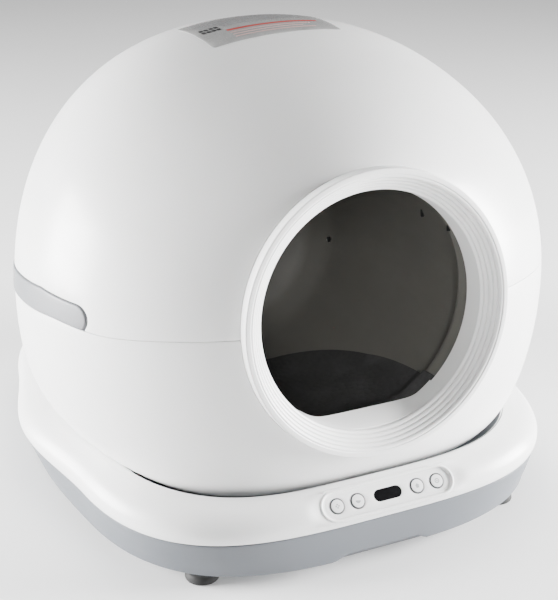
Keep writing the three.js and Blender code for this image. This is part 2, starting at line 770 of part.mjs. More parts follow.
function addSupports() {
  const { bushR, bushFrontS, bushRearS, shaftR } = HUB;
  const shaftRoom = rod(shaftR + GAP, -bushRearS - 1, -bushFrontS + 1);
  add(drumAxis, 'rear_bush', rod(bushR, -bushRearS, -bushFrontS).subtract(shaftRoom), NATURAL);

  const plate = prism(REAR_BRACKET, -REAR_BRACKET_SPAN.rearS, -REAR_BRACKET_SPAN.frontS);
  const bore = rod(bushR + GAP, -REAR_BRACKET_SPAN.rearS - 1, -REAR_BRACKET_SPAN.frontS + 1);
  const bracket = plate.subtract(bore).subtract(shellFloorSpace);
  add(drumAxis, 'rear_bearing_bracket', bracket, GREY);
  addRoller('left', -1);
  addRoller('right', 1);
}

function addRoller(side, sign) {
  const { frontS, rearS, r, play, axleR, axleOut } = ROLLER;
  const { halfWidth, cheek, above, below, bottomY } = ROLLER_BRACKET;
  const [x, y] = clock(sign * ROLLER.clockDeg, TRACK.outerR + r + GAP);
  const bore = rod(axleR + GAP, -rearS - axleOut - 1, -frontS + axleOut + 1, x, y, 24);
  add(drumAxis, `roller_${side}`, rod(r, -rearS, -frontS, x, y, 48).subtract(bore), RUBBER);
  const axle = rod(axleR, -rearS - axleOut, -frontS + axleOut, x, y, 24);
  add(drumAxis, `roller_axle_${side}`, axle, STEEL);

  const low = [x - halfWidth, bottomY, -rearS - cheek];
  const outer = block(low, [x + halfWidth, y + above, -frontS + cheek]);
  const room = block([x - 2 * r, y - below, -rearS - play], [x + 2 * r, y + 2 * r, -frontS + play]);
  const bracket = outer.subtract(room).subtract(bore).subtract(shellFloorSpace);
  add(drumAxis, `roller_bracket_${side}`, bracket, GREY);
}

function addDrive() {
  const [x, y] = pinionCentre;
  const halfTooth = Math.PI / GEAR.pinionTeeth;
  const phase = pinionDirection + Math.PI + halfTooth;
  const teeth = gearTeeth(GEAR.pinionTeeth, -GEAR.rearS, -GEAR.frontS, phase);
  const pinion = moved(teeth, new THREE.Matrix4().makeTranslation(x, y, 0));
  const shaft = rod(PINION_SHAFT.r, -PINION_SHAFT.rearS, -PINION_SHAFT.frontS, x, y, 24);
  add(drumAxis, 'drive_pinion', pinion.add(shaft), NATURAL);

  const turn = new THREE.Matrix4().makeRotationZ(THREE.MathUtils.degToRad(-PINION_CLOCK_DEG));
  const foot = block(...GEARBOX_FOOT).subtract(shellFloorSpace);
  add(drumAxis, 'gearbox', moved(block(...GEARBOX), turn).add(foot), GREY);

  const [motorX, motorY] = clock(PINION_CLOCK_DEG, MOTOR.distance);
  const can = rod(MOTOR.r, -MOTOR.rearS, -MOTOR.frontS - GAP, motorX, motorY, 36);
  const boss = rod(MOTOR.bossR, -MOTOR.rearS - MOTOR.bossOut, -MOTOR.rearS + 1, motorX, motorY, 24);
  add(drumAxis, 'motor', can.add(boss), STEEL);
}

// ---- Base ---------------------------------------------------------------------------------------
// The outside of the base as [z, half width, half depth, corner power, bulge].
const baseSections = [
  [BASE.floorZ, BASE.footHalfWidth, BASE.footHalfDepth, BASE.footPower, BASE.footBulge],
  [BASE.seamZ, BASE.halfWidth, BASE.halfDepth, BASE.power, BASE.bulge],
  ...SHOULDER.map((section) => [...section, BASE.power, BASE.bulge]),
];

// The base's plan: a rounded square whose sides swell out at their middle.
function baseOutline(halfWidth, halfDepth, exponent, bulge) {
  return roundedSquare(halfWidth, halfDepth, halfDepth, 0, exponent, 0).map(([x, y]) => {
    const share = smooth(1 - Math.abs(y - BASE.bulgeY) / BASE.bulgeReach);
    return [x + Math.sign(x) * bulge * share, y];
  });
}

function baseSolid(inset, drop) {
  return stack(
    baseSections.map(([z, halfWidth, halfDepth, exponent, bulge], row) => {
      const outline = baseOutline(halfWidth - inset, halfDepth - inset, exponent, bulge);
      return [row === 0 ? z + (inset > 0 ? WALL : 0) : z - drop, outline];
    }),
  );
}

const screwHeadZ = CHASSIS.topZ - SCREW.headHeight - GAP;
const corners = (x, y) => [
  ['front_left', -x, -y],
  ['front_right', x, -y],
  ['rear_left', -x, y],
  ['rear_right', x, y],
];
const chassisScrews = corners(SCREW.x, SCREW.y);
const feet = [
  ['front_left', -FOOT.frontX, FOOT.frontY],
  ['front_right', FOOT.frontX, FOOT.frontY],
  ['rear_left', -FOOT.rearX, FOOT.rearY],
  ['rear_right', FOOT.rearX, FOOT.rearY],
];

function addBase() {
  const outside = baseSolid(0, 0);
  const inside = baseSolid(WALL, WALL);
  const { halfWidth, bottomZ, topZ } = DRAWER_OPENING;
  const drawerOpening = block([-halfWidth, DRAWER_OPENING.frontY, bottomZ], [halfWidth, FAR, topZ]);

  const forward = new THREE.Matrix4().makeRotationX(Math.PI / 2);
  const notch = moved(prism(NOTCH, -NOTCH_REAR_Y, FAR), forward);
  const { leftX, rightX, frontY: wallFront, rearY: wallRear, topZ: wallTop } = NOTCH_WALL;
  const notchBlock = block([leftX, wallFront, BASE.floorZ], [rightX, wallRear, wallTop]);
  const notchWall = notchBlock.intersect(outside);
  let tub = outside.subtract(inside).intersect(slab(0, BASE.seamZ)).add(notchWall);
  tub = tub.subtract(notch).subtract(drawerOpening);
  for (const [, x, y] of chassisScrews) {
    tub = tub.add(rod(SCREW.postR, BASE.floorZ + 1, CHASSIS.bottomZ - GAP, x, y));
    tub = tub.subtract(rod(SCREW.shankR + GAP, screwHeadZ - SCREW.length - 1, CHASSIS.topZ, x, y, 12));
  }
  for (const [, x, y] of feet) {
    tub = tub.subtract(rod(FOOT.studR + GAP, 0, FOOT.studTopZ + 1, x, y, 24));
  }
  add(group, 'lower_base', tub, GREY);

  const { frontY, midY, rearY } = HOLE;
  const holeOutline = roundedSquare(HOLE.halfWidth, midY - frontY, rearY - midY, midY, HOLE.power);
  const hole = prism(holeOutline, 0, FAR);
  const { halfLength, rimR, rimHeight, padDepth, recessR, recessDepth, through } = PANEL;
  const pad = onPanel(stadium(halfLength, rimR, -padDepth, rimHeight));
  const recess = onPanel(stadium(halfLength, recessR, -recessDepth, through));
  const window = onPanel(stadium(DISPLAY.halfLength + GAP, DISPLAY.r + GAP, -through, 0));
  let deck = outside.subtract(inside).add(pad).intersect(slab(BASE.seamZ + GAP, FAR)).subtract(hole);
  deck = deck.subtract(recess).subtract(window).subtract(drawerOpening);
  for (const x of BUTTON.xs) {
    deck = deck.subtract(onPanel(rod(BUTTON.r + GAP, -through, 0, x, 0, 24)));
  }
  add(group, 'base_deck', deck, WHITE);
  addChassis();
  return outside;
}

function addChassis() {
  const { bottomZ, topZ, halfWidth, frontDepth, rearDepth } = CHASSIS;
  const plate = prism(roundedSquare(halfWidth, frontDepth, rearDepth, 0, BASE.power), bottomZ, topZ);
  const portLow = [-WASTE_PORT.halfWidth, WASTE_PORT.frontY, 0];
  const port = block(portLow, [WASTE_PORT.halfWidth, WASTE_PORT.rearY, FAR]);
  const { halfWidth: roomHalf, rearY: roomRear } = BOARD_ROOM;
  const boardRoom = block([-roomHalf, -FAR, 0], [roomHalf, roomRear, FAR]);
  let chassis = plate.subtract(port).subtract(boardRoom);
  for (const [name, x, y] of chassisScrews) {
    const { shankR, headR, headHeight, length } = SCREW;
    chassis = chassis.subtract(rod(shankR + GAP, 0, FAR, x, y, 12));
    chassis = chassis.subtract(rod(headR + GAP, screwHeadZ - GAP, FAR, x, y, 16));
    const head = rod(headR, screwHeadZ, screwHeadZ + headHeight, x, y, 16);
    const shank = rod(shankR, screwHeadZ - length, screwHeadZ + 1, x, y, 12);
    add(group, `chassis_screw_${name}`, head.add(shank), STEEL);
  }
  add(group, 'chassis_plate', chassis, GREY);
}

// ---- Rear tower ---------------------------------------------------------------------------------
function towerSolid(inset) {
  const { halfWidth, halfDepth, sections } = TOWER;
  const rows = sections.map(([z, grow]) => {
    const depth = halfDepth + grow - inset;
    return [z, roundedSquare(halfWidth + grow - inset, depth, depth, 0, BASE.power)];
  });
  const side = TOWER_SIDE.map(([y, z]) => [y + (y < 0 ? inset : 0), z - inset]);
  const sideways = new THREE.Matrix4().makeBasis(
    new THREE.Vector3(0, 1, 0),
    new THREE.Vector3(0, 0, 1),
    new THREE.Vector3(1, 0, 0),
  );
  return stack(rows).intersect(moved(prism(side, -FAR, FAR), sideways));
}

function addTower(baseOutside) {
  const { wall, globeGap } = TOWER;
  const lift = new THREE.Matrix4().makeTranslation(0, 0, GAP);
  const body = towerSolid(0).subtract(globe(-globeGap)).subtract(moved(baseOutside, lift));
  const hollow = towerSolid(wall).subtract(globe(-globeGap - wall));
  const { x, z, r, play, frontY, rearY, socketR, socketY, pinR, pinRearY } = INLET;
  const inletAxis = new THREE.Matrix4().makeRotationX(-Math.PI / 2).setPosition(x, 0, z);
  const inletHole = moved(rod(r + play, frontY - 6, FAR, 0, 0, 24), inletAxis);
  add(group, 'rear_tower', body.subtract(hollow).subtract(inletHole), WHITE);

  const socket = rod(socketR, socketY, FAR, 0, 0, 24);
  const pin = rod(pinR, frontY + 4, pinRearY, 0, 0, 12);
  const jack = rod(r, frontY, rearY, 0, 0, 24).subtract(socket).add(pin);
  add(group, 'power_inlet', moved(jack, inletAxis), GLOSS_BLACK);

  let board = block(...MAIN_BOARD.plate);
  for (const [low, high] of MAIN_BOARD.parts) board = board.add(block(low, high));
  const pegFrontY = MAIN_BOARD.plate[0][1] + 1;
  for (const pegX of MAIN_BOARD.pegXs) {
    for (const pegZ of MAIN_BOARD.pegZs) {
      const pegAxis = new THREE.Matrix4().makeRotationX(-Math.PI / 2).setPosition(pegX, 0, pegZ);
      const peg = rod(MAIN_BOARD.pegR, pegFrontY, MAIN_BOARD.pegRearY, 0, 0, 16);
      board = board.add(moved(peg, pegAxis));
    }
  }
  add(group, 'main_board', board, BOARD);
}

// ---- Front panel --------------------------------------------------------------------------------
function addPanel() {
  BUTTON.xs.forEach((x, i) => {
    const cap = rod(BUTTON.r, -BUTTON.depth, -PANEL.recessDepth + BUTTON.proud, x, 0, 24);
    const flange = rod(BUTTON.flangeR, ...BUTTON.flange, x, 0, 24);
    add(frontPanel, `button_${i + 1}`, cap.add(flange), SATIN_WHITE);
  });
  const { halfLength, r, depth, proud } = DISPLAY;
  const display = stadium(halfLength, r, -depth, -PANEL.recessDepth + proud);
  add(frontPanel, 'display_window', display, GLOSS_BLACK);
  const board = block(...CONTROL_BOARD.plate).add(block(...CONTROL_BOARD.driver));
  add(frontPanel, 'control_board', board, BOARD);
}

// ---- Waste drawer -------------------------------------------------------------------------------
function addDrawer(baseOutside) {
  const { halfWidth, frontY, bayRearY, bottomZ, topZ, wall } = DRAWER;
  const outer = block([-halfWidth, frontY, bottomZ], [halfWidth, FAR, topZ]).intersect(baseOutside);
  const bayHalf = halfWidth - wall;
  const bay = block([-bayHalf, frontY + wall, bottomZ + wall], [bayHalf, bayRearY, FAR]);
  const pull = block([-PULL.halfWidth, PULL.frontY, 0], [PULL.halfWidth, FAR, bottomZ + PULL.height]);
  add(group, 'waste_drawer', outer.subtract(bay).subtract(pull), GREY);

  const half = bayHalf - BAG_FRAME.play;
  const rimTop = topZ - BAG_FRAME.below;
  const rimLow = [-half, BAG_FRAME.frontY, rimTop - BAG_FRAME.height];
  const rim = block(rimLow, [half, BAG_FRAME.rearY, rimTop]);
  const mouthLow = [-half + BAG_FRAME.width, BAG_FRAME.frontY + BAG_FRAME.width, 0];
  const mouth = block(mouthLow, [half - BAG_FRAME.width, BAG_FRAME.rearY - BAG_FRAME.width, FAR]);
  add(group, 'bag_frame', rim.subtract(mouth), SATIN_WHITE);

  const rail = block(...RAIL);
  add(group, 'drawer_rail_right', rail, NATURAL);
  add(group, 'drawer_rail_left', mirrored(rail), NATURAL);
}

// ---- Feet and weight sensors --------------------------------------------------------------------
function addFeet() {
  const { halfLength, halfWidth, inward, bottomZ, topZ } = LOAD_CELL;
  for (const [name, x, y] of feet) {
    const pad = rod(FOOT.r, 0, BASE.floorZ - GAP, x, y, 32);
    const stud = rod(FOOT.studR, BASE.floorZ - 1, FOOT.studTopZ, x, y, 24);
    add(group, `foot_${name}`, pad.add(stud), RUBBER);
    const middleX = x - inward * Math.sign(x);
    const low = [middleX - halfLength, y - halfWidth, bottomZ];
    const high = [middleX + halfLength, y + halfWidth, topZ];
    add(group, `load_cell_${name}`, block(low, high), STEEL);
  }
}

addGlobe();
addEntrance();
addDrum();
addSupports();
addDrive();
const baseOutside = addBase();
addTower(baseOutside);
addPanel();
addDrawer(baseOutside);
addFeet();

export default group;
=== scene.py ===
"""The looks of an automatic cat litter box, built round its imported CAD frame.

Metres, +Z up. The front, where the cat goes in, faces -Y.
"""

import json
import math

import bmesh
import bpy
import numpy as np
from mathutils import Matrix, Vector
from mathutils.geometry import delaunay_2d_cdt


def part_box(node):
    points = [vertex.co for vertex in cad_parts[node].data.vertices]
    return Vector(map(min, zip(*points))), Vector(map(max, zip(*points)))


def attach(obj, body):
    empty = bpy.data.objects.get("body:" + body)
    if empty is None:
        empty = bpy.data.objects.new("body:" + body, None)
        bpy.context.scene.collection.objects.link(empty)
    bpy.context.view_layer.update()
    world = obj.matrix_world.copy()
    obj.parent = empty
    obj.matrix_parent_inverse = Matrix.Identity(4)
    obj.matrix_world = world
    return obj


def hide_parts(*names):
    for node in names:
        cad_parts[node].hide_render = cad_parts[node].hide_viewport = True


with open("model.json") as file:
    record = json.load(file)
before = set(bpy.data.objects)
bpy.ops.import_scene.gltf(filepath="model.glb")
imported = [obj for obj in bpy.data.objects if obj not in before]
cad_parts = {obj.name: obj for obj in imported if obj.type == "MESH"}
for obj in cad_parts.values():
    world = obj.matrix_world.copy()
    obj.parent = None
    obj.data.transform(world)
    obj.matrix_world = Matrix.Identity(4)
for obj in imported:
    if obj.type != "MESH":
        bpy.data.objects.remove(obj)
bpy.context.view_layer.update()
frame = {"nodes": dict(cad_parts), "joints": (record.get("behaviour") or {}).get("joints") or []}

# ---- Places and sizes ---------------------------------------------------------------------------
MM = 0.001
GAP = 0.3 * MM
CREASE = 35  # Degrees that a surface has to turn by before its edge shows as sharp.
ROUND_CREASE = 50
CORNERS = ("front_left", "front_right", "rear_left", "rear_right")
JOINTS = {joint["name"]: joint for joint in frame["joints"]}


def unit(vector):
    return np.array(vector, float) / np.linalg.norm(vector)


def middle_of(node):
    """The (x, y) middle of a CAD node."""
    low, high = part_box(node)
    return (low.x + high.x) / 2, (low.y + high.y) / 2


def units(vectors):
    """Each row made one long."""
    return vectors / np.linalg.norm(vectors, axis=1)[:, None]


ACROSS = np.array([1.0, 0.0, 0.0])
UPRIGHT = np.array([0.0, 0.0, 1.0])

# The drum axis comes out of the middle of the entrance.
AXIS_POINT = np.array(JOINTS["drum_turn"]["pos_m"])
OUT = unit(JOINTS["drum_turn"]["axis"])
UP = np.cross(OUT, ACROSS)

# The front panel's plane: buttons are pressed into it.
PANEL_X = middle_of("display_window")[0]
PANEL_POINT = np.array([PANEL_X, *JOINTS["button_1_press"]["pos_m"][1:]])
PANEL_OUT = -unit(JOINTS["button_1_press"]["axis"])
PANEL_UP = np.cross(PANEL_OUT, ACROSS)

BASE_Y = middle_of("lower_base")[1]
RING_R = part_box("entrance_ring")[1].x
GLOBE = {
    "centre": np.array([0.0, BASE_Y - 45.6 * MM, 212.8 * MM]),
    "half": np.array([280.0, 236.6, 281.4]) * MM,
    "plan_power": 2.155,
    "side_power": 2.165,
    "lean": 0.195,
    "crown_drop": 26.6 * MM,
    "squaring": 0.75,
    "tuck_x": 0.13,
    "tuck_y": 0.05,
    "tuck_z": 87 * MM,
    "wall": 4 * MM,
    "lip": 0.9 * MM,
    "mesh_degrees": 2.0,
}
BROW = {"height": 25 * MM, "reach": 250 * MM, "depth": 80 * MM}
SEAM = {"step_front": 62 * MM, "step_rear": 150 * MM, "rise": 8.5 * MM}
GRIP = {
    "front": BASE_Y - 148 * MM,
    "rear": BASE_Y + 118 * MM,
    "slant": 6 * MM,
    "centre_z": 254.5 * MM,
    "fall_from": BASE_Y - 95 * MM,
    "fall": 0.1354,
    "half_height": 13.5 * MM,
    "proud": 1.2 * MM,
    "thickness": 5 * MM,
    "lip": 2.2 * MM,
}
RING = {
    "wall_rear": 12 * MM,
    "lip": 9.6 * MM,
    "lip_width": 5.8 * MM,
    "tube_r": 114.5 * MM,
    "tube_front": 7.6 * MM,
    "tube_rear": 30 * MM,
    "wall": 3.2 * MM,
    "grooves": 5,
    "groove_depth": 1.5 * MM,
    "groove_steps": 12,
}
SILL = {"top": 101.5 * MM, "rear": 31 * MM}
SHELL_FLOOR = {"top": 79 * MM, "thickness": 3 * MM, "share": 0.985}
WASTE_PORT = {"half_width": 62 * MM, "front": BASE_Y - 100 * MM, "rear": BASE_Y + 40 * MM, "cut": 10 * MM}
DRAWER_OPENING = {"half_width": 151.5 * MM, "bottom": 17.4 * MM, "top": 66.5 * MM, "cut": 3 * MM}
REAR_FROM, REAR_TO = BASE_Y + 240 * MM, BASE_Y + 320 * MM
INLET_HOLE_R = 6.4 * MM
BASE_POWER = 3.4
BULGE = {"height": 22 * MM, "foot_height": 8 * MM, "y": BASE_Y + 5 * MM, "reach": 135 * MM}


# ---- Curves and outlines ------------------------------------------------------------------------
def smooth(value):
    share = np.clip(value, 0, 1)
    return share * share * (3 - 2 * share)


def signed_power(value, exponent):
    return np.sign(value) * np.abs(value) ** exponent


def resample(points, count):
    """A closed line through the points, with evenly spaced points of its own."""
    closed = np.vstack([points, points[:1]])
    steps = np.linalg.norm(np.diff(closed, axis=0), axis=1)
    along = np.concatenate([[0], np.cumsum(steps)])
    wanted = np.linspace(0, along[-1], count, endpoint=False)
    return np.stack([np.interp(wanted, along, closed[:, k]) for k in range(closed.shape[1])], axis=1)


def filled(points, spacing):
    """The same closed line with points added wherever its corners lie further apart than spacing."""
    parts = []
    for here, after in zip(points, np.roll(points, -1, axis=0)):
        steps = max(1, math.ceil(np.linalg.norm(after - here) / spacing))
        parts.append(here + np.linspace(0, 1, steps, endpoint=False)[:, None] * (after - here))
    return np.vstack(parts)


def rounded_square(half_width, front, rear, middle_y, power, count=360):
    """An outline with rounded corners, from +X anticlockwise."""
    angle = np.linspace(0, 2 * math.pi, 6000, endpoint=False)
    depth = np.where(np.sin(angle) < 0, front, rear)
    x = half_width * signed_power(np.cos(angle), 2 / power)
    y = middle_y + depth * signed_power(np.sin(angle), 2 / power)
    return resample(np.stack([x, y], axis=1), count)


def rounded(corners, steps=6, closed=True):
    """A line through (x, y, cut) corners. Each corner is rounded from cut before it to cut after it."""
    points = []
    count = len(corners)
    for i, (x, y, cut) in enumerate(corners):
        here = np.array([x, y])
        if cut == 0 or (not closed and i in (0, count - 1)):
            points.append(here)
            continue
        before = np.array(corners[i - 1][:2]) - here
        after = np.array(corners[(i + 1) % count][:2]) - here
        start = here + before * min(cut / np.linalg.norm(before), 0.5)
        end = here + after * min(cut / np.linalg.norm(after), 0.5)
        for t in np.linspace(0, 1, steps + 1):
            points.append((1 - t) ** 2 * start + 2 * t * (1 - t) * here + t**2 * end)
    return np.array(points)


def box_outline(x0, y0, x1, y1, cut, steps=6):
    """A rectangle with rounded corners."""
    return rounded([(x0, y0, cut), (x1, y0, cut), (x1, y1, cut), (x0, y1, cut)], steps)


def stadium(half_length, radius, count=24):
    turn = np.linspace(-math.pi / 2, math.pi / 2, count)
    right = np.stack([half_length + radius * np.cos(turn), radius * np.sin(turn)], axis=1)
    return np.vstack([right, -right])


def circle(radius, count=48, x=0.0, y=0.0):
    angle = np.linspace(0, 2 * math.pi, count, endpoint=False)
    return np.stack([x + radius * np.cos(angle), y + radius * np.sin(angle)], axis=1)


def through(keys, steps):
    """Rows of numbers on a smooth curve through the keys."""
    keys = np.array(keys, float)
    ends = np.vstack([2 * keys[0] - keys[1], keys, 2 * keys[-1] - keys[-2]])
    rows = []
    for i in range(1, len(ends) - 2):
        a, b, c, d = ends[i - 1 : i + 3]
        for t in np.linspace(0, 1, steps, endpoint=False):
            square = (2 * a - 5 * b + 4 * c - d) * t**2
            cube = (3 * b - a - 3 * c + d) * t**3
            rows.append(0.5 * (2 * b + (c - a) * t + square + cube))
    rows.append(keys[-1])
    return np.array(rows)


# ---- Meshes -------------------------------------------------------------------------------------
def piece(name, made, material, body=None, stands_for=(), crease=CREASE):
    """An object from vertices and faces. It rides on a body and may stand for CAD nodes.
    """
    vertices, faces = made
    mesh = bpy.data.meshes.new(name)
    mesh.from_pydata([tuple(map(float, v)) for v in vertices], [], [tuple(map(int, f)) for f in faces])
    mesh.validate()
    obj = bpy.data.objects.new(name, mesh)
    bpy.context.scene.collection.objects.link(obj)
    mesh.materials.append(MATERIALS[material])
    finish_surface(obj, crease)
    if body:
        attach(obj, body)
    if stands_for:
        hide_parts(*stands_for)
    return obj


def finish_surface(obj, crease):
    """Faces outwards, smooth shading, sharp edges only where the surface really turns."""
    mesh = obj.data
    bm = bmesh.new()
    bm.from_mesh(mesh)
    bmesh.ops.recalc_face_normals(bm, faces=bm.faces)
    bm.to_mesh(mesh)
    bm.free()
    mesh.polygons.foreach_set("use_smooth", [True] * len(mesh.polygons))
    mesh.set_sharp_from_angle(angle=math.radians(crease))


def lofted(rows, ring=False):
    """Vertices and faces through closed loops of equal length. A ring joins its last loop to its first."""
    count = len(rows[0])
    pairs = [(i, i + 1) for i in range(len(rows) - 1)] + ([(len(rows) - 1, 0)] if ring else [])
    faces = []
    for a, b in pairs:
        for i in range(count):
            j = (i + 1) % count
            faces.append((a * count + i, a * count + j, b * count + j, b * count + i))
    if not ring:
        last = (len(rows) - 1) * count
        faces.append(tuple(range(count))[::-1])
        faces.append(tuple(last + i for i in range(count)))
    return np.concatenate(rows), faces


def at_height(outline, z):
    return np.column_stack([outline, np.full(len(outline), z)])


def turned_rows(profile, count=160):
    """Loops round the drum axis for (radius, distance out of the entrance) points."""
    angle = np.linspace(0, 2 * math.pi, count, endpoint=False)
    spokes = np.outer(np.sin(angle), ACROSS) + np.outer(np.cos(angle), UP)
    return [AXIS_POINT + radius * spokes + out * OUT for radius, out in profile]


def on_panel(outline, height):
    """Points of an outline drawn on the panel's plane, at a height over it."""
    x, y = outline[:, :1], outline[:, 1:2]
    return PANEL_POINT + x * ACROSS + y * PANEL_UP + height * PANEL_OUT


def along_axis(outline, out):
    """Points of an outline drawn across the drum axis."""
    return AXIS_POINT + outline[:, :1] * ACROSS + outline[:, 1:2] * UP + out * OUT


def combine(obj, other, operation="DIFFERENCE", crease=CREASE):
    """Cuts other out of obj, or adds it, and keeps the result as obj's own mesh."""
    modifier = obj.modifiers.new("combine", "BOOLEAN")
    modifier.operation = operation
    modifier.solver = "MANIFOLD"
    modifier.object = other
    depsgraph = bpy.context.evaluated_depsgraph_get()
    result = bpy.data.meshes.new_from_object(obj.evaluated_get(depsgraph))
    obj.modifiers.clear()
    obj.data = result
    bpy.data.objects.remove(other)
    finish_surface(obj, crease)


def bulk(made):
    """A solid that is only there to be cut out or added."""
    return piece("cutter", made, "shell_white")


def prism_rows(outline, low, high, place):
    return lofted([place(outline, low), place(outline, high)])


def prism(outline, low, high, place):
    return bulk(prism_rows(outline, low, high, place))


# ---- Skins: closed sheets with rounded edges ----------------------------------------------------
def inside(points, loops):
    """Which points lie inside the first loop and outside the others."""
    result = np.zeros(len(points), bool)
    for loop in loops:
        x, y = points[:, :1], points[:, 1:2]
        ax, ay = loop[:, 0], loop[:, 1]
        bx, by = np.roll(ax, -1), np.roll(ay, -1)
        spans = (ay > y) != (by > y)
        with np.errstate(divide="ignore", invalid="ignore"):
            crossing = ax + (y - ay) * (bx - ax) / (by - ay)
        result ^= (np.sum(spans & (x < crossing), axis=1) % 2).astype(bool)
    return result


def far_from(points, loops, distance):
    """Which points keep their distance from every corner of the loops."""
    corners = np.concatenate(loops)
    keep = np.ones(len(points), bool)
    for start in range(0, len(points), 2000):
        block = points[start : start + 2000]
        gaps = np.linalg.norm(block[:, None] - corners[None], axis=2)
        keep[start : start + 2000] = gaps.min(axis=1) > distance
    return keep


WITHOUT_HOLES = 2  # Blender's code for a triangulation that leaves holes empty.


def mesh_of(loops, spacing):
    """Vertices and flat triangles inside the first loop. The other loops stay open."""
    low, high = loops[0].min(axis=0), loops[0].max(axis=0)
    xs = np.arange(low[0], high[0], spacing)
    ys = np.arange(low[1], high[1], spacing)
    grid = np.stack(np.meshgrid(xs, ys), axis=-1).reshape(-1, 2)
    grid = grid[inside(grid, loops)]
    grid = grid[far_from(grid, loops, 0.55 * spacing)]
    points, edges = [], []
    for loop in loops:
        first = len(points)
        points.extend(loop)
        edges.extend((first + i, first + (i + 1) % len(loop)) for i in range(len(loop)))
    points.extend(grid)
    made = delaunay_2d_cdt([Vector(p) for p in points], edges, [], WITHOUT_HOLES, 1e-9)
    flat, triangles = np.array([tuple(v) for v in made[0]]), np.array(made[2])
    return flat, triangles[inside(flat[triangles].mean(axis=1), loops)]


def skin(loops, spacing, place, thickness, lip=0.8 * MM, lip_steps=4):
    """Vertices and faces of a sheet over the loops. place gives points and outward normals."""
    flat, triangles = mesh_of(loops, spacing)
    used = np.unique(triangles)
    renumber = np.zeros(len(flat), int)
    renumber[used] = np.arange(len(used))
    flat, triangles = flat[used], renumber[triangles]
    outer, normals = place(flat)
    a, b, c = (outer[triangles[:, k]] for k in range(3))
    if np.sum(np.cross(b - a, c - a) * normals[triangles[:, 0]]) < 0:
        triangles = triangles[:, ::-1]
    count = len(outer)
    vertices = [outer, outer - thickness * normals]
    faces = [tuple(t) for t in triangles] + [tuple(t[::-1] + count) for t in triangles]
    total = 2 * count
    for loop in edge_loops(triangles):
        before, after = outer[np.roll(loop, 1)], outer[np.roll(loop, -1)]
        outward = units(np.cross(units(after - before), normals[loop]))
        previous = np.array(loop)
        for row in edge_rows(outer[loop], normals[loop], outward, thickness, lip, lip_steps):
            vertices.append(row)
            here = total + np.arange(len(loop))
            faces.extend(quads(previous, here))
            total += len(loop)
            previous = here
        faces.extend(quads(previous, np.array(loop) + count))
    return np.concatenate(vertices), faces


def quads(one, other):
    """Faces between two closed loops of vertex numbers."""
    return [(one[i], other[i], other[(i + 1) % len(one)], one[(i + 1) % len(one)]) for i in range(len(one))]


def edge_rows(points, normals, outward, thickness, lip, steps):
    """Rows round a sheet's edge: over the outer lip, then down to the inner lip."""
    inner_lip = min(lip, 0.3 * thickness)
    for angle in np.linspace(0, math.pi / 2, steps + 1)[1:]:
        yield points + outward * lip * math.sin(angle) - normals * lip * (1 - math.cos(angle))
    yield points + outward * lip - normals * (thickness - inner_lip)
    yield points + outward * (lip - 0.3 * inner_lip) - normals * (thickness - 0.3 * inner_lip)
    yield points + outward * (lip - inner_lip) - normals * thickness


def edge_loops(triangles):
    """The sheet's free edges as loops of vertices, with the sheet on the left."""
    directed = {(t[i], t[(i + 1) % 3]) for t in triangles.tolist() for i in range(3)}
    following = {a: b for a, b in directed if (b, a) not in directed}
    loops = []
    while following:
        start, here = following.popitem()
        loop = [start]
        while here != start:
            loop.append(here)
            here = following.pop(here)
        loops.append(loop)
    return loops


# ---- The globe's surface ------------------------------------------------------------------------
def axis_parts(points):
    """Distance across, above and in front of the drum axis's origin."""
    local = points - AXIS_POINT
    return local @ ACROSS, local @ UP, local @ OUT


def without_brow(points):
    """Where the points would be if the crown didn't swell forward over the entrance."""
    across, up, _ = axis_parts(points)
    radius = np.hypot(across, up) + 1e-9
    reach = smooth((BROW["reach"] - radius) / (BROW["reach"] - RING_R))
    height = BROW["height"] * np.clip(up / radius, 0, 1) ** 2.2 * reach
    plain = points
    for _ in range(6):
        front = smooth((GLOBE["centre"][1] - plain[:, 1]) / BROW["depth"])
        plain = points - (height * front)[:, None] * OUT
    return plain


def globe_field(points):
    """Below zero inside the globe, above zero outside it."""
    x, y, z = (without_brow(points) - GLOBE["centre"]).T
    half_x, half_y, half_z = GLOBE["half"]
    sink = np.maximum(-z / (GLOBE["centre"][2] - GLOBE["tuck_z"]), 0) ** 5
    ux = np.abs(x) / (half_x * np.maximum(1 - GLOBE["tuck_x"] * sink, 0.3))
    uy = y / (half_y * np.maximum(1 - GLOBE["tuck_y"] * sink, 0.3))
    slope = half_z * (1 + GLOBE["lean"] * np.clip(uy, -1, 1))
    uz = z / half_z
    for _ in range(8):
        crown = np.clip(uz, 0, 1.4)
        error = slope * crown - GLOBE["crown_drop"] * crown**3 - z
        newton = crown - error / (slope - 3 * GLOBE["crown_drop"] * crown**2)
        uz = np.where(z > 0, np.clip(newton, 0, 1.4), z / half_z)
    plan = GLOBE["plan_power"] + GLOBE["squaring"] * np.minimum(sink, 3)
    side = GLOBE["side_power"]
    level = (ux**plan + np.abs(uy) ** plan) ** (1 / plan)
    return (level**side + np.abs(uz) ** side) ** (1 / side) - 1


def surface_along(origins, directions, near, far):
    """Points where rays from inside the globe go through its surface."""
    low = np.full(len(directions), near)
    high = np.full(len(directions), far)
    for _ in range(34):
        middle = (low + high) / 2
        outside = globe_field(origins + directions * middle[:, None]) > 0
        high = np.where(outside, middle, high)
        low = np.where(outside, low, middle)
    return origins + directions * ((low + high) / 2)[:, None]


def globe_normals(points, step=0.3 * MM):
    """Outward directions, from how the globe's field changes over a small step."""
    gradient = [globe_field(points + step * axis) - globe_field(points - step * axis) for axis in np.eye(3)]
    return units(np.stack(gradient, axis=1))


GLOBE_MIDDLE = AXIS_POINT + OUT * ((GLOBE["centre"][1] - AXIS_POINT[1]) / OUT[1])


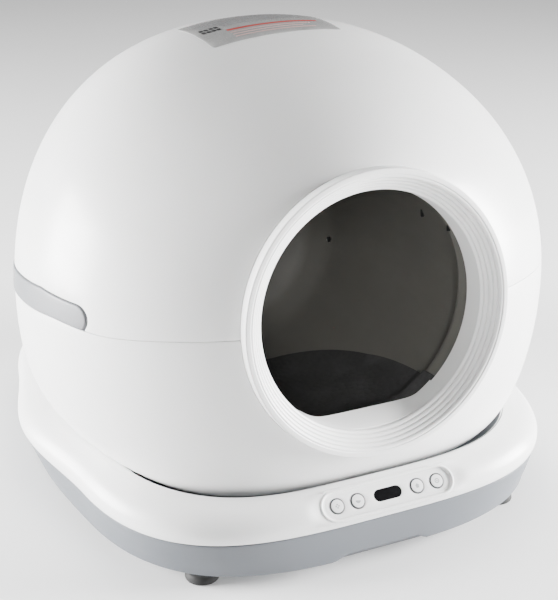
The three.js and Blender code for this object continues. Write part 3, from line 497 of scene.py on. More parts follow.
def half_globe(pole):
    """Two maps for the half of the globe round a pole: points to flat degrees, and back."""

    def flatten(points):
        directions = units(points - GLOBE_MIDDLE)
        angle = np.degrees(np.arccos(np.clip(directions @ pole, -1, 1)))
        azimuth = np.arctan2(directions @ OUT, directions @ ACROSS)
        return np.stack([angle * np.cos(azimuth), angle * np.sin(azimuth)], axis=1)

    def place(flat):
        angle = np.radians(np.linalg.norm(flat, axis=1))
        azimuth = np.arctan2(flat[:, 1], flat[:, 0])
        sideways = np.outer(np.cos(azimuth), ACROSS) + np.outer(np.sin(azimuth), OUT)
        directions = np.cos(angle)[:, None] * pole + np.sin(angle)[:, None] * sideways
        points = surface_along(GLOBE_MIDDLE, directions, 0.05, 0.5)
        return points, globe_normals(points)

    return flatten, place


def seam_height(behind):
    """Height of the joint between hood and lower shell above the drum axis."""
    return SEAM["rise"] * smooth((behind - SEAM["step_front"]) / (SEAM["step_rear"] - SEAM["step_front"]))


def seam_points(azimuths, offset):
    """Points on the globe at a set height over the seam."""
    directions = np.outer(np.cos(azimuths), ACROSS) + np.outer(np.sin(azimuths), OUT)
    height = np.full(len(azimuths), offset)
    for _ in range(8):
        points = surface_along(GLOBE_MIDDLE + height[:, None] * UP, directions, 0.05, 0.5)
        height = seam_height(-axis_parts(points)[2]) + offset
    return points


def entrance_edge(clock, radius):
    """Where a tube round the drum axis meets the globe, at angles clockwise from the top."""
    spokes = np.outer(np.sin(clock), ACROSS) + np.outer(np.cos(clock), UP)
    origins = AXIS_POINT + radius * spokes - 0.12 * OUT
    return surface_along(origins, np.tile(OUT, (len(clock), 1)), 0.0, 0.24)


def from_side(side_points, sign):
    """Globe points from (y, z) places seen from the side."""
    origins = np.column_stack([np.zeros(len(side_points)), side_points])
    return surface_along(origins, np.tile(sign * ACROSS, (len(side_points), 1)), 0.0, 0.32)


def height_over_seam(side_points):
    """How far (y, z) places seen from the side lie over the seam."""
    points = np.column_stack([np.zeros(len(side_points)), side_points])
    _, up, out = axis_parts(points)
    return up - seam_height(-out)


def grip_middle(y):
    """Height of the grip band's middle line."""
    return GRIP["centre_z"] - GRIP["fall"] * np.maximum(y - GRIP["fall_from"], 0)


def grip_outline(grow, offset):
    """The part of the grip band above the seam, as (y, z) from its front end over its top to its rear."""
    half = GRIP["half_height"] + grow
    turn = np.linspace(-math.pi / 2, -1.5 * math.pi, 30)
    middle = (GRIP["front"], grip_middle(GRIP["front"]))
    front = middle + half * np.stack([np.cos(turn), np.sin(turn)], axis=1)
    rear = GRIP["rear"] + grow
    ys = np.linspace(GRIP["front"], rear, 56)[1:]
    top = np.stack([ys, grip_middle(ys) + half], axis=1)
    end_z = grip_middle(rear)
    corner = (rear + GRIP["slant"], end_z + half, 5 * MM)
    end = rounded([(*top[-1], 0), corner, (rear, end_z - half, 0)], closed=False)
    outline = np.vstack([front, top[:-1], end[1:-1], np.linspace(end[-2], end[-1], 10)[1:]])
    above = height_over_seam(outline) - offset
    first = np.argmax(above > 0)
    last = len(above) - 1 - np.argmax(above[::-1] > 0)
    kept = [outline[first : last + 1]]
    if first > 0:
        kept.insert(0, [crossing(outline, above, first - 1)])
    if last + 1 < len(outline):
        kept.append([crossing(outline, above, last)])
    return np.vstack(kept)


def crossing(points, heights, i):
    """Where the line from point i to the next one passes height zero."""
    share = heights[i] / (heights[i] - heights[i + 1])
    return points[i] + share * (points[i + 1] - points[i])


def hood_outline(lip):
    """The hood's edge: over the entrance ring, then along the seam and round both grips."""
    offset = GAP / 2 + lip
    radius = RING_R + GAP + lip
    widest = math.acos(offset / radius)
    arch = entrance_edge(np.linspace(-widest, widest, 180), radius)
    corner = arch[-1] - GLOBE_MIDDLE
    azimuth = math.atan2(corner @ OUT, corner @ ACROSS)
    seam = seam_points(np.linspace(azimuth, -math.pi - azimuth, 420)[1:-1], offset)
    side = grip_outline(GAP + lip, offset)
    parts = [arch]
    for sign, way in ((1, 1), (-1, -1)):
        half = seam[seam[:, 0] * sign > 0]
        grip = from_side(side, sign)[::way]
        before = half[half[:, 1] < side[0, 0]] if sign > 0 else half[half[:, 1] > side[-1, 0]]
        after = half[half[:, 1] > side[-1, 0]] if sign > 0 else half[half[:, 1] < side[0, 0]]
        parts += [before, grip, after]
    return np.vstack(parts)


def lower_outlines(lip):
    """The lower shell's edge, under the ring and along the seam, and its open bottom's edge."""
    offset = GAP / 2 + lip
    radius = RING_R + GAP + lip
    first = math.acos(-offset / radius)
    arch = entrance_edge(np.linspace(first, 2 * math.pi - first, 180), radius)
    corner = arch[0] - GLOBE_MIDDLE
    azimuth = math.atan2(corner @ OUT, corner @ ACROSS)
    seam = seam_points(np.linspace(math.pi - azimuth, 2 * math.pi + azimuth, 420)[1:-1], -offset)
    return np.vstack([arch, seam]), level_line(SHELL_FLOOR["top"] - 1 * MM)


def level_line(z, count=180):
    """The globe's outline at one height."""
    angle = np.linspace(0, 2 * math.pi, count, endpoint=False)
    directions = np.stack([np.cos(angle), np.sin(angle), np.zeros(count)], axis=1)
    origin = np.array([0.0, GLOBE["centre"][1], z])
    return surface_along(origin, directions, 0.02, 0.4)


def flat_place(z):
    def place(flat):
        return at_height(flat, z), np.tile(UPRIGHT, (len(flat), 1))

    return place


def panel_place(height):
    def place(flat):
        return on_panel(flat, height), np.tile(PANEL_OUT, (len(flat), 1))

    return place


def over_globe(height):
    """A map for things that lie on the crown, from (x, y) places seen from above."""

    def place(flat):
        origins = at_height(flat, GLOBE_MIDDLE[2])
        points = surface_along(origins, np.tile(UPRIGHT, (len(flat), 1)), 0.0, 0.32)
        normals = globe_normals(points)
        return points + height * normals, normals

    return place


# ---- Materials ----------------------------------------------------------------------------------
def node_tree(name):
    """A new material, its tree and shader, and the object-space place for its textures."""
    material = bpy.data.materials.new(name)
    material.use_nodes = True
    tree = material.node_tree
    shader = tree.nodes["Principled BSDF"]
    place = tree.nodes.new("ShaderNodeTexCoord")
    return material, tree, shader, place.outputs["Object"]


def set_inputs(node, values):
    for name, value in values.items():
        node.inputs[name].default_value = value


def noise(tree, place, scale, detail=3.0, stretch=None, distortion=0.0):
    if stretch:
        mapping = tree.nodes.new("ShaderNodeMapping")
        mapping.inputs["Scale"].default_value = stretch
        tree.links.new(place, mapping.inputs["Vector"])
        place = mapping.outputs["Vector"]
    texture = tree.nodes.new("ShaderNodeTexNoise")
    set_inputs(texture, {"Scale": scale, "Detail": detail, "Distortion": distortion})
    tree.links.new(place, texture.inputs["Vector"])
    return texture.outputs["Fac"]


def ranged(tree, value, low, high, from_low=0.3, from_high=0.7):
    """A value stretched from one range to another, and held at its ends."""
    node = tree.nodes.new("ShaderNodeMapRange")
    set_inputs(node, {"From Min": from_low, "From Max": from_high, "To Min": low, "To Max": high})
    tree.links.new(value, node.inputs["Value"])
    return node.outputs["Result"]


def blended(tree, factor, one, other):
    """A colour that goes from one to the other."""
    node = tree.nodes.new("ShaderNodeMix")
    node.data_type = "RGBA"
    for socket, value in ((node.inputs[6], one), (node.inputs[7], other)):
        if isinstance(value, bpy.types.NodeSocket):
            tree.links.new(value, socket)
        else:
            socket.default_value = (*value, 1)
    tree.links.new(factor, node.inputs[0])
    return node.outputs[2]


def bumped(tree, shader, heights):
    """Bump from (height, strength, distance) layers, the first one deepest."""
    normal = None
    for height, strength, distance in heights:
        node = tree.nodes.new("ShaderNodeBump")
        set_inputs(node, {"Strength": strength, "Distance": distance})
        tree.links.new(height, node.inputs["Height"])
        if normal:
            tree.links.new(normal, node.inputs["Normal"])
        normal = node.outputs["Normal"]
    tree.links.new(normal, shader.inputs["Normal"])


def moulded(name, color, roughness, grain=0.12, wear=0.5, coat=0.0, soil=None):
    """Moulded plastic: fine grain, faint flow marks, hairline scratches and handling marks.

    Coat is how much clear gloss lies on it, and soil is the colour of its marks.
    """
    material, tree, shader, place = node_tree(name)
    cloud = noise(tree, place, 7, 4)
    flow = noise(tree, place, 16, 3, stretch=(1, 1, 3.5), distortion=0.6)
    fine = noise(tree, place, 1500, 2)
    orange_peel = noise(tree, place, 160, 2)
    scratches = noise(tree, place, 90, 4, stretch=(1, 14, 9), distortion=0.3)
    smudges = noise(tree, place, 28, 5, distortion=0.8)
    darker = tuple(c * 0.955 for c in color)
    tint = blended(tree, ranged(tree, cloud, 0, 1), color, darker)
    if soil:
        marks = ranged(tree, smudges, 0, 0.35 * wear, 0.56, 0.74)
        tint = blended(tree, marks, tint, soil)
    tree.links.new(tint, shader.inputs["Base Color"])
    rough = tree.nodes.new("ShaderNodeMath")
    rough.operation = "ADD"
    tree.links.new(ranged(tree, flow, roughness - 0.03, roughness + 0.05), rough.inputs[0])
    tree.links.new(ranged(tree, scratches, 0, 0.12 * wear, 0.62, 0.7), rough.inputs[1])
    tree.links.new(rough.outputs[0], shader.inputs["Roughness"])
    layers = [(orange_peel, 0.05, 0.2 * MM), (fine, grain, 0.05 * MM), (scratches, 0.04 * wear, 0.05 * MM)]
    bumped(tree, shader, layers)
    set_inputs(shader, {"Coat Weight": coat, "Coat Roughness": 0.2})
    set_inputs(shader, {"Subsurface Weight": 0.04, "Subsurface Scale": 2 * MM})
    return material


def rubber(name, color, ribs=0.0):
    """Soft black rubber: dull, dusty in its hollows, with moulded dimples."""
    material, tree, shader, place = node_tree(name)
    dust = noise(tree, place, 35, 5)
    fine = noise(tree, place, 700, 3)
    lighter = tuple(c * 1.5 + 0.003 for c in color)
    tint = blended(tree, ranged(tree, dust, 0, 1, 0.45, 0.75), color, lighter)
    tree.links.new(tint, shader.inputs["Base Color"])
    tree.links.new(ranged(tree, dust, 0.62, 0.86), shader.inputs["Roughness"])
    layers = [(fine, 0.3, 0.15 * MM)]
    if ribs:
        dimples = tree.nodes.new("ShaderNodeTexVoronoi")
        dimples.inputs["Scale"].default_value = ribs
        tree.links.new(place, dimples.inputs["Vector"])
        layers.insert(0, (dimples.outputs["Distance"], 0.5, 1.2 * MM))
    bumped(tree, shader, layers)
    return material


def glossy_black(name):
    """Polished acrylic with faint swirl marks."""
    material, tree, shader, place = node_tree(name)
    swirl = noise(tree, place, 260, 4, distortion=1.5)
    tint = blended(tree, swirl, (0.003, 0.003, 0.003), (0.006, 0.006, 0.007))
    tree.links.new(tint, shader.inputs["Base Color"])
    tree.links.new(ranged(tree, swirl, 0.14, 0.2), shader.inputs["Roughness"])
    shader.inputs["Specular IOR Level"].default_value = 0.12
    bumped(tree, shader, [(swirl, 0.02, 0.05 * MM)])
    return material


def brushed(name, color, roughness=0.32):
    """Brushed or turned steel, with the brushing along X."""
    material, tree, shader, place = node_tree(name)
    lines = noise(tree, place, 700, 4, stretch=(0.06, 1, 1))
    stain = noise(tree, place, 60, 4)
    shader.inputs["Metallic"].default_value = 1
    darker = tuple(c * 0.72 for c in color)
    tree.links.new(blended(tree, ranged(tree, stain, 0, 1), color, darker), shader.inputs["Base Color"])
    tree.links.new(ranged(tree, lines, roughness - 0.08, roughness + 0.12), shader.inputs["Roughness"])
    bumped(tree, shader, [(lines, 0.15, 0.05 * MM)])
    return material


def circuit(name):
    """A green circuit board: solder mask over faint copper tracks, with rows of pads."""
    material, tree, shader, place = node_tree(name)
    tracks = tree.nodes.new("ShaderNodeTexBrick")
    set_inputs(tracks, {"Scale": 130, "Mortar Size": 0.03, "Mortar": (0.05, 0.24, 0.08, 1)})
    set_inputs(tracks, {"Color1": (0.012, 0.10, 0.035, 1), "Color2": (0.016, 0.13, 0.045, 1)})
    tree.links.new(place, tracks.inputs["Vector"])
    pads = noise(tree, place, 420, 1)
    tint = blended(tree, ranged(tree, pads, 0, 1, 0.68, 0.72), tracks.outputs["Color"], (0.75, 0.72, 0.6))
    tree.links.new(tint, shader.inputs["Base Color"])
    tree.links.new(ranged(tree, pads, 0.3, 0.45), shader.inputs["Roughness"])
    bumped(tree, shader, [(tracks.outputs["Fac"], 0.2, 0.1 * MM)])
    return material


def film(name, color, alpha):
    """A thin sticker film that lets some of the white under it show."""
    material, tree, shader, place = node_tree(name)
    wrinkles = noise(tree, place, 45, 3, distortion=0.5)
    fibres = noise(tree, place, 900, 2)
    darker = tuple(c * 0.8 for c in color)
    tree.links.new(blended(tree, ranged(tree, wrinkles, 0, 1), color, darker), shader.inputs["Base Color"])
    tree.links.new(ranged(tree, fibres, 0.18, 0.3), shader.inputs["Roughness"])
    bumped(tree, shader, [(wrinkles, 0.1, 0.2 * MM), (fibres, 0.05, 0.02 * MM)])
    shader.inputs["Alpha"].default_value = alpha
    return material


def studio_floor(name):
    """A pale, even floor that glows a little, so that the object's shadows stay soft."""
    material, tree, shader, place = node_tree(name)
    tint = blended(tree, noise(tree, place, 3, 3), (0.9, 0.9, 0.9), (0.88, 0.88, 0.88))
    tree.links.new(tint, shader.inputs["Base Color"])
    set_inputs(shader, {"Roughness": 0.7, "Emission Color": (1, 1, 1, 1), "Emission Strength": 0.15})
    return material


def printed_ink(name, color, roughness=0.5):
    return moulded(name, color, roughness, wear=0.2)


# Each material's function, then what that function is given after the material's name.
FINISHES = {
    "shell_white": (moulded, (0.83, 0.83, 0.825), 0.33, 0.12, 0.5, 0.12, (0.74, 0.735, 0.72)),
    "ring_white": (moulded, (0.80, 0.80, 0.795), 0.36, 0.12, 0.5, 0.1, (0.7, 0.695, 0.68)),
    "trim_white": (moulded, (0.74, 0.745, 0.75), 0.42, 0.12, 0.5, 0.0, (0.62, 0.61, 0.59)),
    "base_grey": (moulded, (0.125, 0.136, 0.152), 0.44, 0.3, 0.9, 0.0, (0.108, 0.116, 0.128)),
    "grip_grey": (moulded, (0.14, 0.145, 0.156), 0.42, 0.35, 0.8, 0.0, (0.125, 0.129, 0.138)),
    "drum_dark": (moulded, (0.15, 0.146, 0.132), 0.62, 0.4, 0.5, 0.0, (0.165, 0.16, 0.145)),
    "nylon": (moulded, (0.72, 0.70, 0.63), 0.4, 0.2, 0.5, 0.0, (0.5, 0.46, 0.38)),
    "mat_black": (rubber, (0.045, 0.045, 0.046), 150),
    # Painted shade: a ribbed black for the dark plugs in the drum's vents and sensor hole.
    "mesh_black": (rubber, (0.01, 0.01, 0.01), 700),
    "foot_rubber": (rubber, (0.012, 0.012, 0.012)),
    "gloss_black": (glossy_black,),
    "circuit_green": (circuit,),
    "steel": (brushed, (0.60, 0.61, 0.62)),
    "label_film": (film, (0.46, 0.46, 0.455), 0.6),
    "print_black": (printed_ink, (0.012, 0.012, 0.013)),
    "print_grey": (printed_ink, (0.16, 0.16, 0.17)),
    "print_red": (printed_ink, (0.42, 0.035, 0.03), 0.45),
    "print_pink": (printed_ink, (0.55, 0.33, 0.31)),
    "icon_grey": (printed_ink, (0.30, 0.31, 0.32)),
    # Painted shade: a dark finish for the sheet under the panel's holes and the rings round the buttons.
    "gap_dark": (printed_ink, (0.05, 0.05, 0.055), 0.6),
    "studio_floor": (studio_floor,),
}
MATERIALS = {name: make(name, *settings) for name, (make, *settings) in FINISHES.items()}


# ---- Globe --------------------------------------------------------------------------------------
def build_globe():
    lip, wall, spacing = GLOBE["lip"], GLOBE["wall"], GLOBE["mesh_degrees"]
    flatten, place = half_globe(UP)
    hood = skin([flatten(hood_outline(lip))], spacing, place, wall, lip)
    piece("hood_shell", hood, "shell_white", "hood", ["upper_shell"])

    flatten, place = half_globe(-UP)
    lower = skin([flatten(loop) for loop in lower_outlines(lip)], spacing, place, wall, lip)
    piece("lower_shell_wall", lower, "shell_white", "base", ["lower_shell"])

    edge = level_line(SHELL_FLOOR["top"])[:, :2]
    middle = np.array([0.0, GLOBE["centre"][1]])
    edge = middle + (edge - middle) * SHELL_FLOOR["share"]
    half = WASTE_PORT["half_width"]
    port = box_outline(-half, WASTE_PORT["front"], half, WASTE_PORT["rear"], WASTE_PORT["cut"])
    floor = skin([edge, port], 16 * MM, flat_place(SHELL_FLOOR["top"]), SHELL_FLOOR["thickness"])
    piece("lower_shell_floor", floor, "shell_white", "base")


def build_grips():
    """Grey bands along the hood's lower edge, standing a little proud of the globe."""
    lip = GRIP["lip"]
    offset = GAP / 2 + lip
    outline = grip_outline(-lip, offset)
    ys = np.linspace(outline[-1, 0], outline[0, 0], 60)[1:-1]
    zs = np.full(len(ys), AXIS_POINT[2])
    for _ in range(12):
        zs -= height_over_seam(np.stack([ys, zs], axis=1)) - offset
    bottom = np.stack([ys, np.maximum(zs, grip_middle(ys) - GRIP["half_height"] + lip)], axis=1)
    loop = np.vstack([outline, bottom])
    for side, sign in (("right", 1), ("left", -1)):

        def place(flat, sign=sign):
            points = from_side(flat, sign)
            normals = globe_normals(points)
            return points + GRIP["proud"] * normals, normals

        made = skin([loop], 3 * MM, place, GRIP["thickness"], lip, 6)
        piece(f"grip_pad_{side}", made, "grip_grey", "hood", [f"side_grip_{side}"])


# ---- Label: its own sizes are in millimetres from its middle ------------------------------------
LABEL = {"length": 150, "width": 78, "turn": math.radians(6.8)}
LABEL_PROUD = 0.35 * MM
PRINT_PROUD = 0.42 * MM


def label_patch(x0, y0, x1, y1, cut):
    """A rounded rectangle in the label's own directions, seen from above."""
    middle = np.array(middle_of("top_label"))
    along = (math.cos(LABEL["turn"]), math.sin(LABEL["turn"]))
    across = (-along[1], along[0])
    outline = box_outline(x0 * MM, y0 * MM, x1 * MM, y1 * MM, cut * MM, 3)
    return middle + filled(outline, 3 * MM) @ np.array([along, across])


def printed(name, x0, y0, x1, y1, material):
    patch = label_patch(x0, y0, x1, y1, 0.4)
    mark = skin([patch], 6 * MM, over_globe(PRINT_PROUD), 0.06 * MM, 0.02 * MM, 1)
    piece(name, mark, material, "hood")


def build_label():
    """A silver sticker with blocks and rules where a real one has its lettering."""
    half_length, half_width = LABEL["length"] / 2, LABEL["width"] / 2
    edge = label_patch(-half_length, -half_width, half_length, half_width, 3)
    sheet = skin([edge], 5 * MM, over_globe(LABEL_PROUD), 0.25 * MM, 0.05 * MM, 2)
    piece("label_sheet", sheet, "label_film", "hood", ["top_label"])
    for row in range(2):
        for column in range(4):
            x, y = -68 + 5.6 * column, 2 - 7.0 * row
            printed(f"label_block_{row}_{column}", x, y, x + 4.4, y + 5, "print_black")
    printed("label_red_rule", -44, -12, 62, -8, "print_red")
    for line in range(5):
        x, y = -42 if line == 4 else -66, 30 - 6.2 * line
        printed(f"label_grey_rule_{line}", x, y, 58 - 9 * (line % 2), y + 1.6, "print_grey")
    for line in range(3):
        y = -18 - 5.5 * line
        printed(f"label_pink_rule_{line}", -44, y, 50 - 12 * (line % 2), y + 1.5, "print_pink")


# ---- Entrance -----------------------------------------------------------------------------------
def ring_profile():
    """The ring's section as (radius, distance out): its lip, grooved funnel and tube, then its back."""
    wall, lip, rear = RING["wall"], RING["lip"], RING["wall_rear"]
    tube_r, tube_front, tube_rear = RING["tube_r"], RING["tube_front"], RING["tube_rear"]
    lip_r = RING_R - RING["lip_width"]
    start = np.array([lip_r, lip - 0.8 * MM])
    end = np.array([tube_r, -tube_front])
    run = end - start
    proud = unit([-run[1], run[0]])
    proud *= np.sign(proud[1])
    front = [
        (RING_R, -rear, 0),
        (RING_R, lip, 1.5 * MM),
        (lip_r + 0.6 * MM, lip + 0.2 * MM, 1.2 * MM),
        (*start, 0),
    ]
    profile = list(rounded(front, 8, closed=False))
    steps = RING["grooves"] * RING["groove_steps"]
    for i in range(1, steps):
        share = i / steps
        ridge = abs(math.sin(math.pi * share * RING["grooves"])) ** 0.45
        profile.append(start + share * run + proud * (RING["groove_depth"] * ridge))
    back = [
        (*end, 0),
        (tube_r, -tube_front - 1.2 * MM, 0.6 * MM),
        (tube_r, -tube_rear, 1.2 * MM),
        (tube_r + wall, -tube_rear, 1.2 * MM),
        (tube_r + wall, -tube_front - 5 * MM, 3 * MM),
        (RING_R - wall, -2 * MM, 2 * MM),
        (RING_R - wall, -rear, 0.8 * MM),
        (RING_R, -rear, 0),
    ]
    return profile + list(rounded(back, 5, closed=False))[:-1]


def step_rows():
    """The step's sections: a ramp that rises out of the tube's floor to a straight, rounded rear edge."""
    outer = RING["tube_r"] - GAP
    widest = math.acos(SILL["top"] / outer) + math.radians(12)
    angle = np.linspace(-widest, widest, 70)
    first, last = -RING["tube_front"] - 1.2 * MM, -SILL["rear"]
    soft, blend, thinnest = 1.4 * MM, 2.5 * MM, 0.2 * MM

    def section(out, chord, shrink):
        straight = chord / np.cos(angle)
        inner = -blend * np.log(np.exp((thinnest - outer) / blend) + np.exp(-straight / blend)) + shrink
        inner = np.minimum(inner, outer - 0.15 * MM)
        arc = np.stack([outer * np.sin(angle), -outer * np.cos(angle)], axis=1)
        top = np.stack([inner * np.sin(angle), -inner * np.cos(angle)], axis=1)
        return along_axis(np.vstack([arc, top[::-1]]), out)

    rows = []
    for share in np.linspace(0, 1, 16):
        chord = outer - thinnest - (outer - SILL["top"]) * share**0.7
        rows.append(section(first + share * (last + soft - first), chord, 0))
    for turn in np.linspace(0, math.pi / 2, 6)[1:]:
        out = last + soft * (1 - math.sin(turn))
        rows.append(section(out, SILL["top"], soft * (1 - math.cos(turn))))
    return rows


def build_entrance():
    bezel = lofted(turned_rows(ring_profile(), 240), ring=True)
    piece("entrance_bezel", bezel, "ring_white", "base", ["entrance_ring"], ROUND_CREASE)
    piece("entrance_step", lofted(step_rows()), "ring_white", "base", ["entrance_sill"])


# ---- Drum: (radius, distance out, corner cut) round its axis, in millimetres ---------------------
DRUM_CORNERS = (
    (1, -395, 0), (40, -395, 8), (80, -389, 8), (112, -372, 10), (128, -340, 12), (148, -190, 30),
    (148, -84, 6), (125, -60, 6), (125, -24, 1.2), (122, -24, 1.2), (122, -58, 6), (145, -82, 6),
    (145, -190, 30), (125, -340, 12), (109, -370, 10), (78, -385.5, 8), (40, -391, 8), (1, -391, 0),
)
# The waste port's corners, as (degrees from the top, radius), and how far out it starts and ends.
PORT_CORNERS = ((-6, 60), (-6, 200), (16, 220), (36, 200), (36, 60))
PORT_OUT = (-290, -195)
DRUM_VENTS = (
    {"x": (118, 138.8), "y": (45, 53), "out": (-147.6, -145)},
    {"x": (100, 111.4), "y": (52, 58), "out": (-53.4, -51)},
)
# The drum's inner face, as (distance behind the entrance, radius).
DRUM_LINE = np.array([(24, 122), (58, 122), (82, 145), (190, 145), (340, 125), (370, 109)]) * MM
SENSOR = {"radius": 3.5 * MM, "up": -17 * MM, "out": -341 * MM, "depth": 125.4 * MM, "face": 121 * MM}
MAT = {"front": 37, "side_front": 60, "side": 90, "length": 192, "half_turn": 42.5, "power": 2.3}
MAT_SPREAD = 0.135  # Metres of flat mat for each radian round the drum.


def at_clock(degrees, radius):
    turn = math.radians(degrees)
    return radius * math.sin(turn), radius * math.cos(turn)


def build_drum():
    profile = rounded([(r * MM, out * MM, cut * MM) for r, out, cut in DRUM_CORNERS], 6, closed=False)
    made = lofted(turned_rows(profile, 180))
    drum = piece("drum_body", made, "drum_dark", "drum", ["drum_shell"])
    port = np.array([at_clock(degrees, radius) for degrees, radius in PORT_CORNERS]) * MM
    combine(drum, prism(port, PORT_OUT[0] * MM, PORT_OUT[1] * MM, along_axis))
    for number, vent in enumerate(DRUM_VENTS):
        build_vent(drum, number, vent)
    build_sensor(drum)


def build_vent(drum, number, vent):
    """A blind recess in the drum's inner face, with a dark plug in it that paints the shade of a deep slot.
    """
    (x0, x1), (y0, y1), (far, near) = vent["x"], vent["y"], vent["out"]
    recess = np.array([(x0, y0), (x1, y0), (x1, y1), (x0, y1)]) * MM
    combine(drum, prism(recess, far * MM, near * MM, along_axis))
    # The plug is painted shade: a dark piece where a through slot would look dark.
    mesh = box_outline(x1 - 4, y0 + 0.1, x1 - 0.1, y1 - 0.1, 0.3, 3) * MM
    made = prism_rows(mesh, (far + 0.1) * MM, (near - 0.1) * MM, along_axis)
    piece(f"drum_vent_painted_shade_{number}", made, "mesh_black", "drum")


def build_sensor(drum):
    """A small round hole in the drum's side wall, with a dark plug in it that paints the hole's shade."""
    hole = circle(SENSOR["radius"], 32)
    origin = AXIS_POINT + SENSOR["up"] * UP + SENSOR["out"] * OUT

    def sideways(outline, distance):
        return origin + distance * ACROSS + outline[:, :1] * OUT + outline[:, 1:2] * UP

    combine(drum, prism(hole, 60 * MM, SENSOR["depth"], sideways))
    # The dark plug is painted shade of the deep hole.
    lens = prism_rows(hole * 0.95, SENSOR["face"], SENSOR["depth"] - 0.4 * MM, sideways)
    piece("drum_sensor_painted_shade", lens, "mesh_black", "drum")


def build_mat():
    """The floor mat follows the drum's inner face, from a straight front edge to a round rear."""
    thickness, play = 2.2 * MM, 0.7 * MM
    slope = np.gradient(DRUM_LINE[:, 1], DRUM_LINE[:, 0])

    def place(flat):
        behind, angle = flat[:, 0], flat[:, 1] / MAT_SPREAD
        radius = np.interp(behind, DRUM_LINE[:, 0], DRUM_LINE[:, 1]) - play - thickness
        spokes = np.outer(np.sin(angle), ACROSS) - np.outer(np.cos(angle), UP)
        tilt = np.interp(behind, DRUM_LINE[:, 0], slope)
        normals = units(-spokes - tilt[:, None] * OUT)
        return AXIS_POINT + radius[:, None] * spokes - behind[:, None] * OUT, normals

    share = np.linspace(0, 1, 60)
    angle = np.radians(MAT["half_turn"]) * (1 - share ** MAT["power"]) ** (1 / MAT["power"])
    side = np.stack([(MAT["side"] + MAT["length"] * share) * MM, angle * MAT_SPREAD], axis=1)
    front = np.array([(MAT["front"] * MM, side[0, 1]), (MAT["side_front"] * MM, side[0, 1])])
    loop = np.vstack([front, side, side[::-1][1:] * (1, -1), front[::-1] * (1, -1)])
    made = skin([resample(loop, 220)], 5 * MM, place, 2.0 * MM, 0.8 * MM, 3)
    piece("floor_mat", made, "mat_black", "drum", ["drum_mat"])


# ---- Base: (half width, half depth, height) rows, in millimetres ---------------------------------
FLOOR_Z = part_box("lower_base")[0].z
SEAM_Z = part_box("lower_base")[1].z
DECK_Z = 87 * MM
# The round well in the deck that the globe stands in.
HOLE = {"half_width": 228.5 * MM, "front": 290.8 * MM, "rear": 140 * MM, "power": 3.37, "bottom": 63 * MM}
HOLE_MIDDLE = BASE_Y + 36 * MM
DECK_OUTSIDE = (
    (235, 261.5, 86.4), (244, 270.5, 83.2), (250, 276.2, 79.8), (254.2, 280.6, 75.8),
    (257.4, 283.9, 71), (259.2, 285.6, 65.8), (259.4, 285.8, 60.5), (258.4, 284.6, 55.9),
)
DECK_EDGE = (257.6, 283.8)
DECK_INSIDE = (
    (254.5, 280.8, 55.2), (255.6, 282, 66), (250, 276, 76.5), (240, 266.5, 82), (234.5, 261.5, 83.4),
)
# The tub's rows have the power of their rounded corners last.
TUB_FOOT = (
    (250.2, 279.6, 14.4, 3.06), (252.6, 282, 14.9, 3.07),
    (253.9, 283.2, 16.4, 3.08), (254.2, 283.5, 18.5, 3.08),
)
TUB_SIDE = (
    (254.6, 283.6, 22, 3.1), (255.7, 283.9, 32, 3.2),
    (256.9, 284.1, 43, 3.3), (257.9, 284.2, 53.2, 3.4),
)
TUB_RIM = ((257.5, 283.9, 54.4, 3.4), (256.8, 283.2, 54.9, 3.4))
TUB_INSIDE = (
    (254.8, 281, 54.9, 3.4), (254.2, 280.4, 54.2, 3.4), (252, 279.8, 32, 3.2), (250.5, 279, 19.4, 3.1),
    (248, 276.5, 17.8, 3.1),
)
NOTCH = {"left": -54 * MM, "right": 47 * MM, "height": 6.2 * MM, "fade": 16 * MM}
NOTCH_RAMPS = (18 * MM, 4 * MM)
POST = ((7.6, 15.5), (7.4, 24), (7.0, 60), (7.0, 67.4), (6.6, 68), (2.4, 68), (2.4, 48), (0.3, 48))

PANEL = {"half_length": 57.5 * MM, "rim": 15 * MM, "recess": 12 * MM, "depth": 1.6 * MM}
FLAT_EDGE = 15 * MM
FLAT_BELOW, FLAT_ABOVE = 2.5 * MM, 12 * MM
BUTTON_FLANGE_R = (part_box("button_1")[1].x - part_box("button_1")[0].x) / 2
BUTTON_R = BUTTON_FLANGE_R - 1.4 * MM
BUTTON_CLEARANCE = 0.6 * MM
DISPLAY_R = 5.9 * MM
DISPLAY_HALF = (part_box("display_window")[1].x - PANEL_X) - DISPLAY_R


def base_row(half_width, half_depth, z, power=BASE_POWER):
    """An outline of the base, whose sides swell out at their middle."""
    outline = rounded_square(half_width * MM, half_depth * MM, half_depth * MM, BASE_Y, power)
    share = smooth(1 - np.abs(outline[:, 1] - BULGE["y"]) / BULGE["reach"])
    height = np.interp(z * MM, [FLOOR_Z, SEAM_Z], [BULGE["foot_height"], BULGE["height"]])
    outline[:, 0] += np.sign(outline[:, 0]) * height * share
    return at_height(outline, z * MM)


def flattened(points):
    """The deck's front slope is flat round the panel."""
    local = points - PANEL_POINT
    x, y, out = local @ ACROSS, local @ PANEL_UP, local @ PANEL_OUT
    beyond = np.hypot(np.maximum(np.abs(x) - PANEL["half_length"], 0), y)
    share = 1 - smooth((beyond - PANEL["rim"] - 1 * MM) / FLAT_EDGE)
    share *= (out < FLAT_ABOVE) * (out > -FLAT_BELOW)
    return points - (share * out)[:, None] * PANEL_OUT


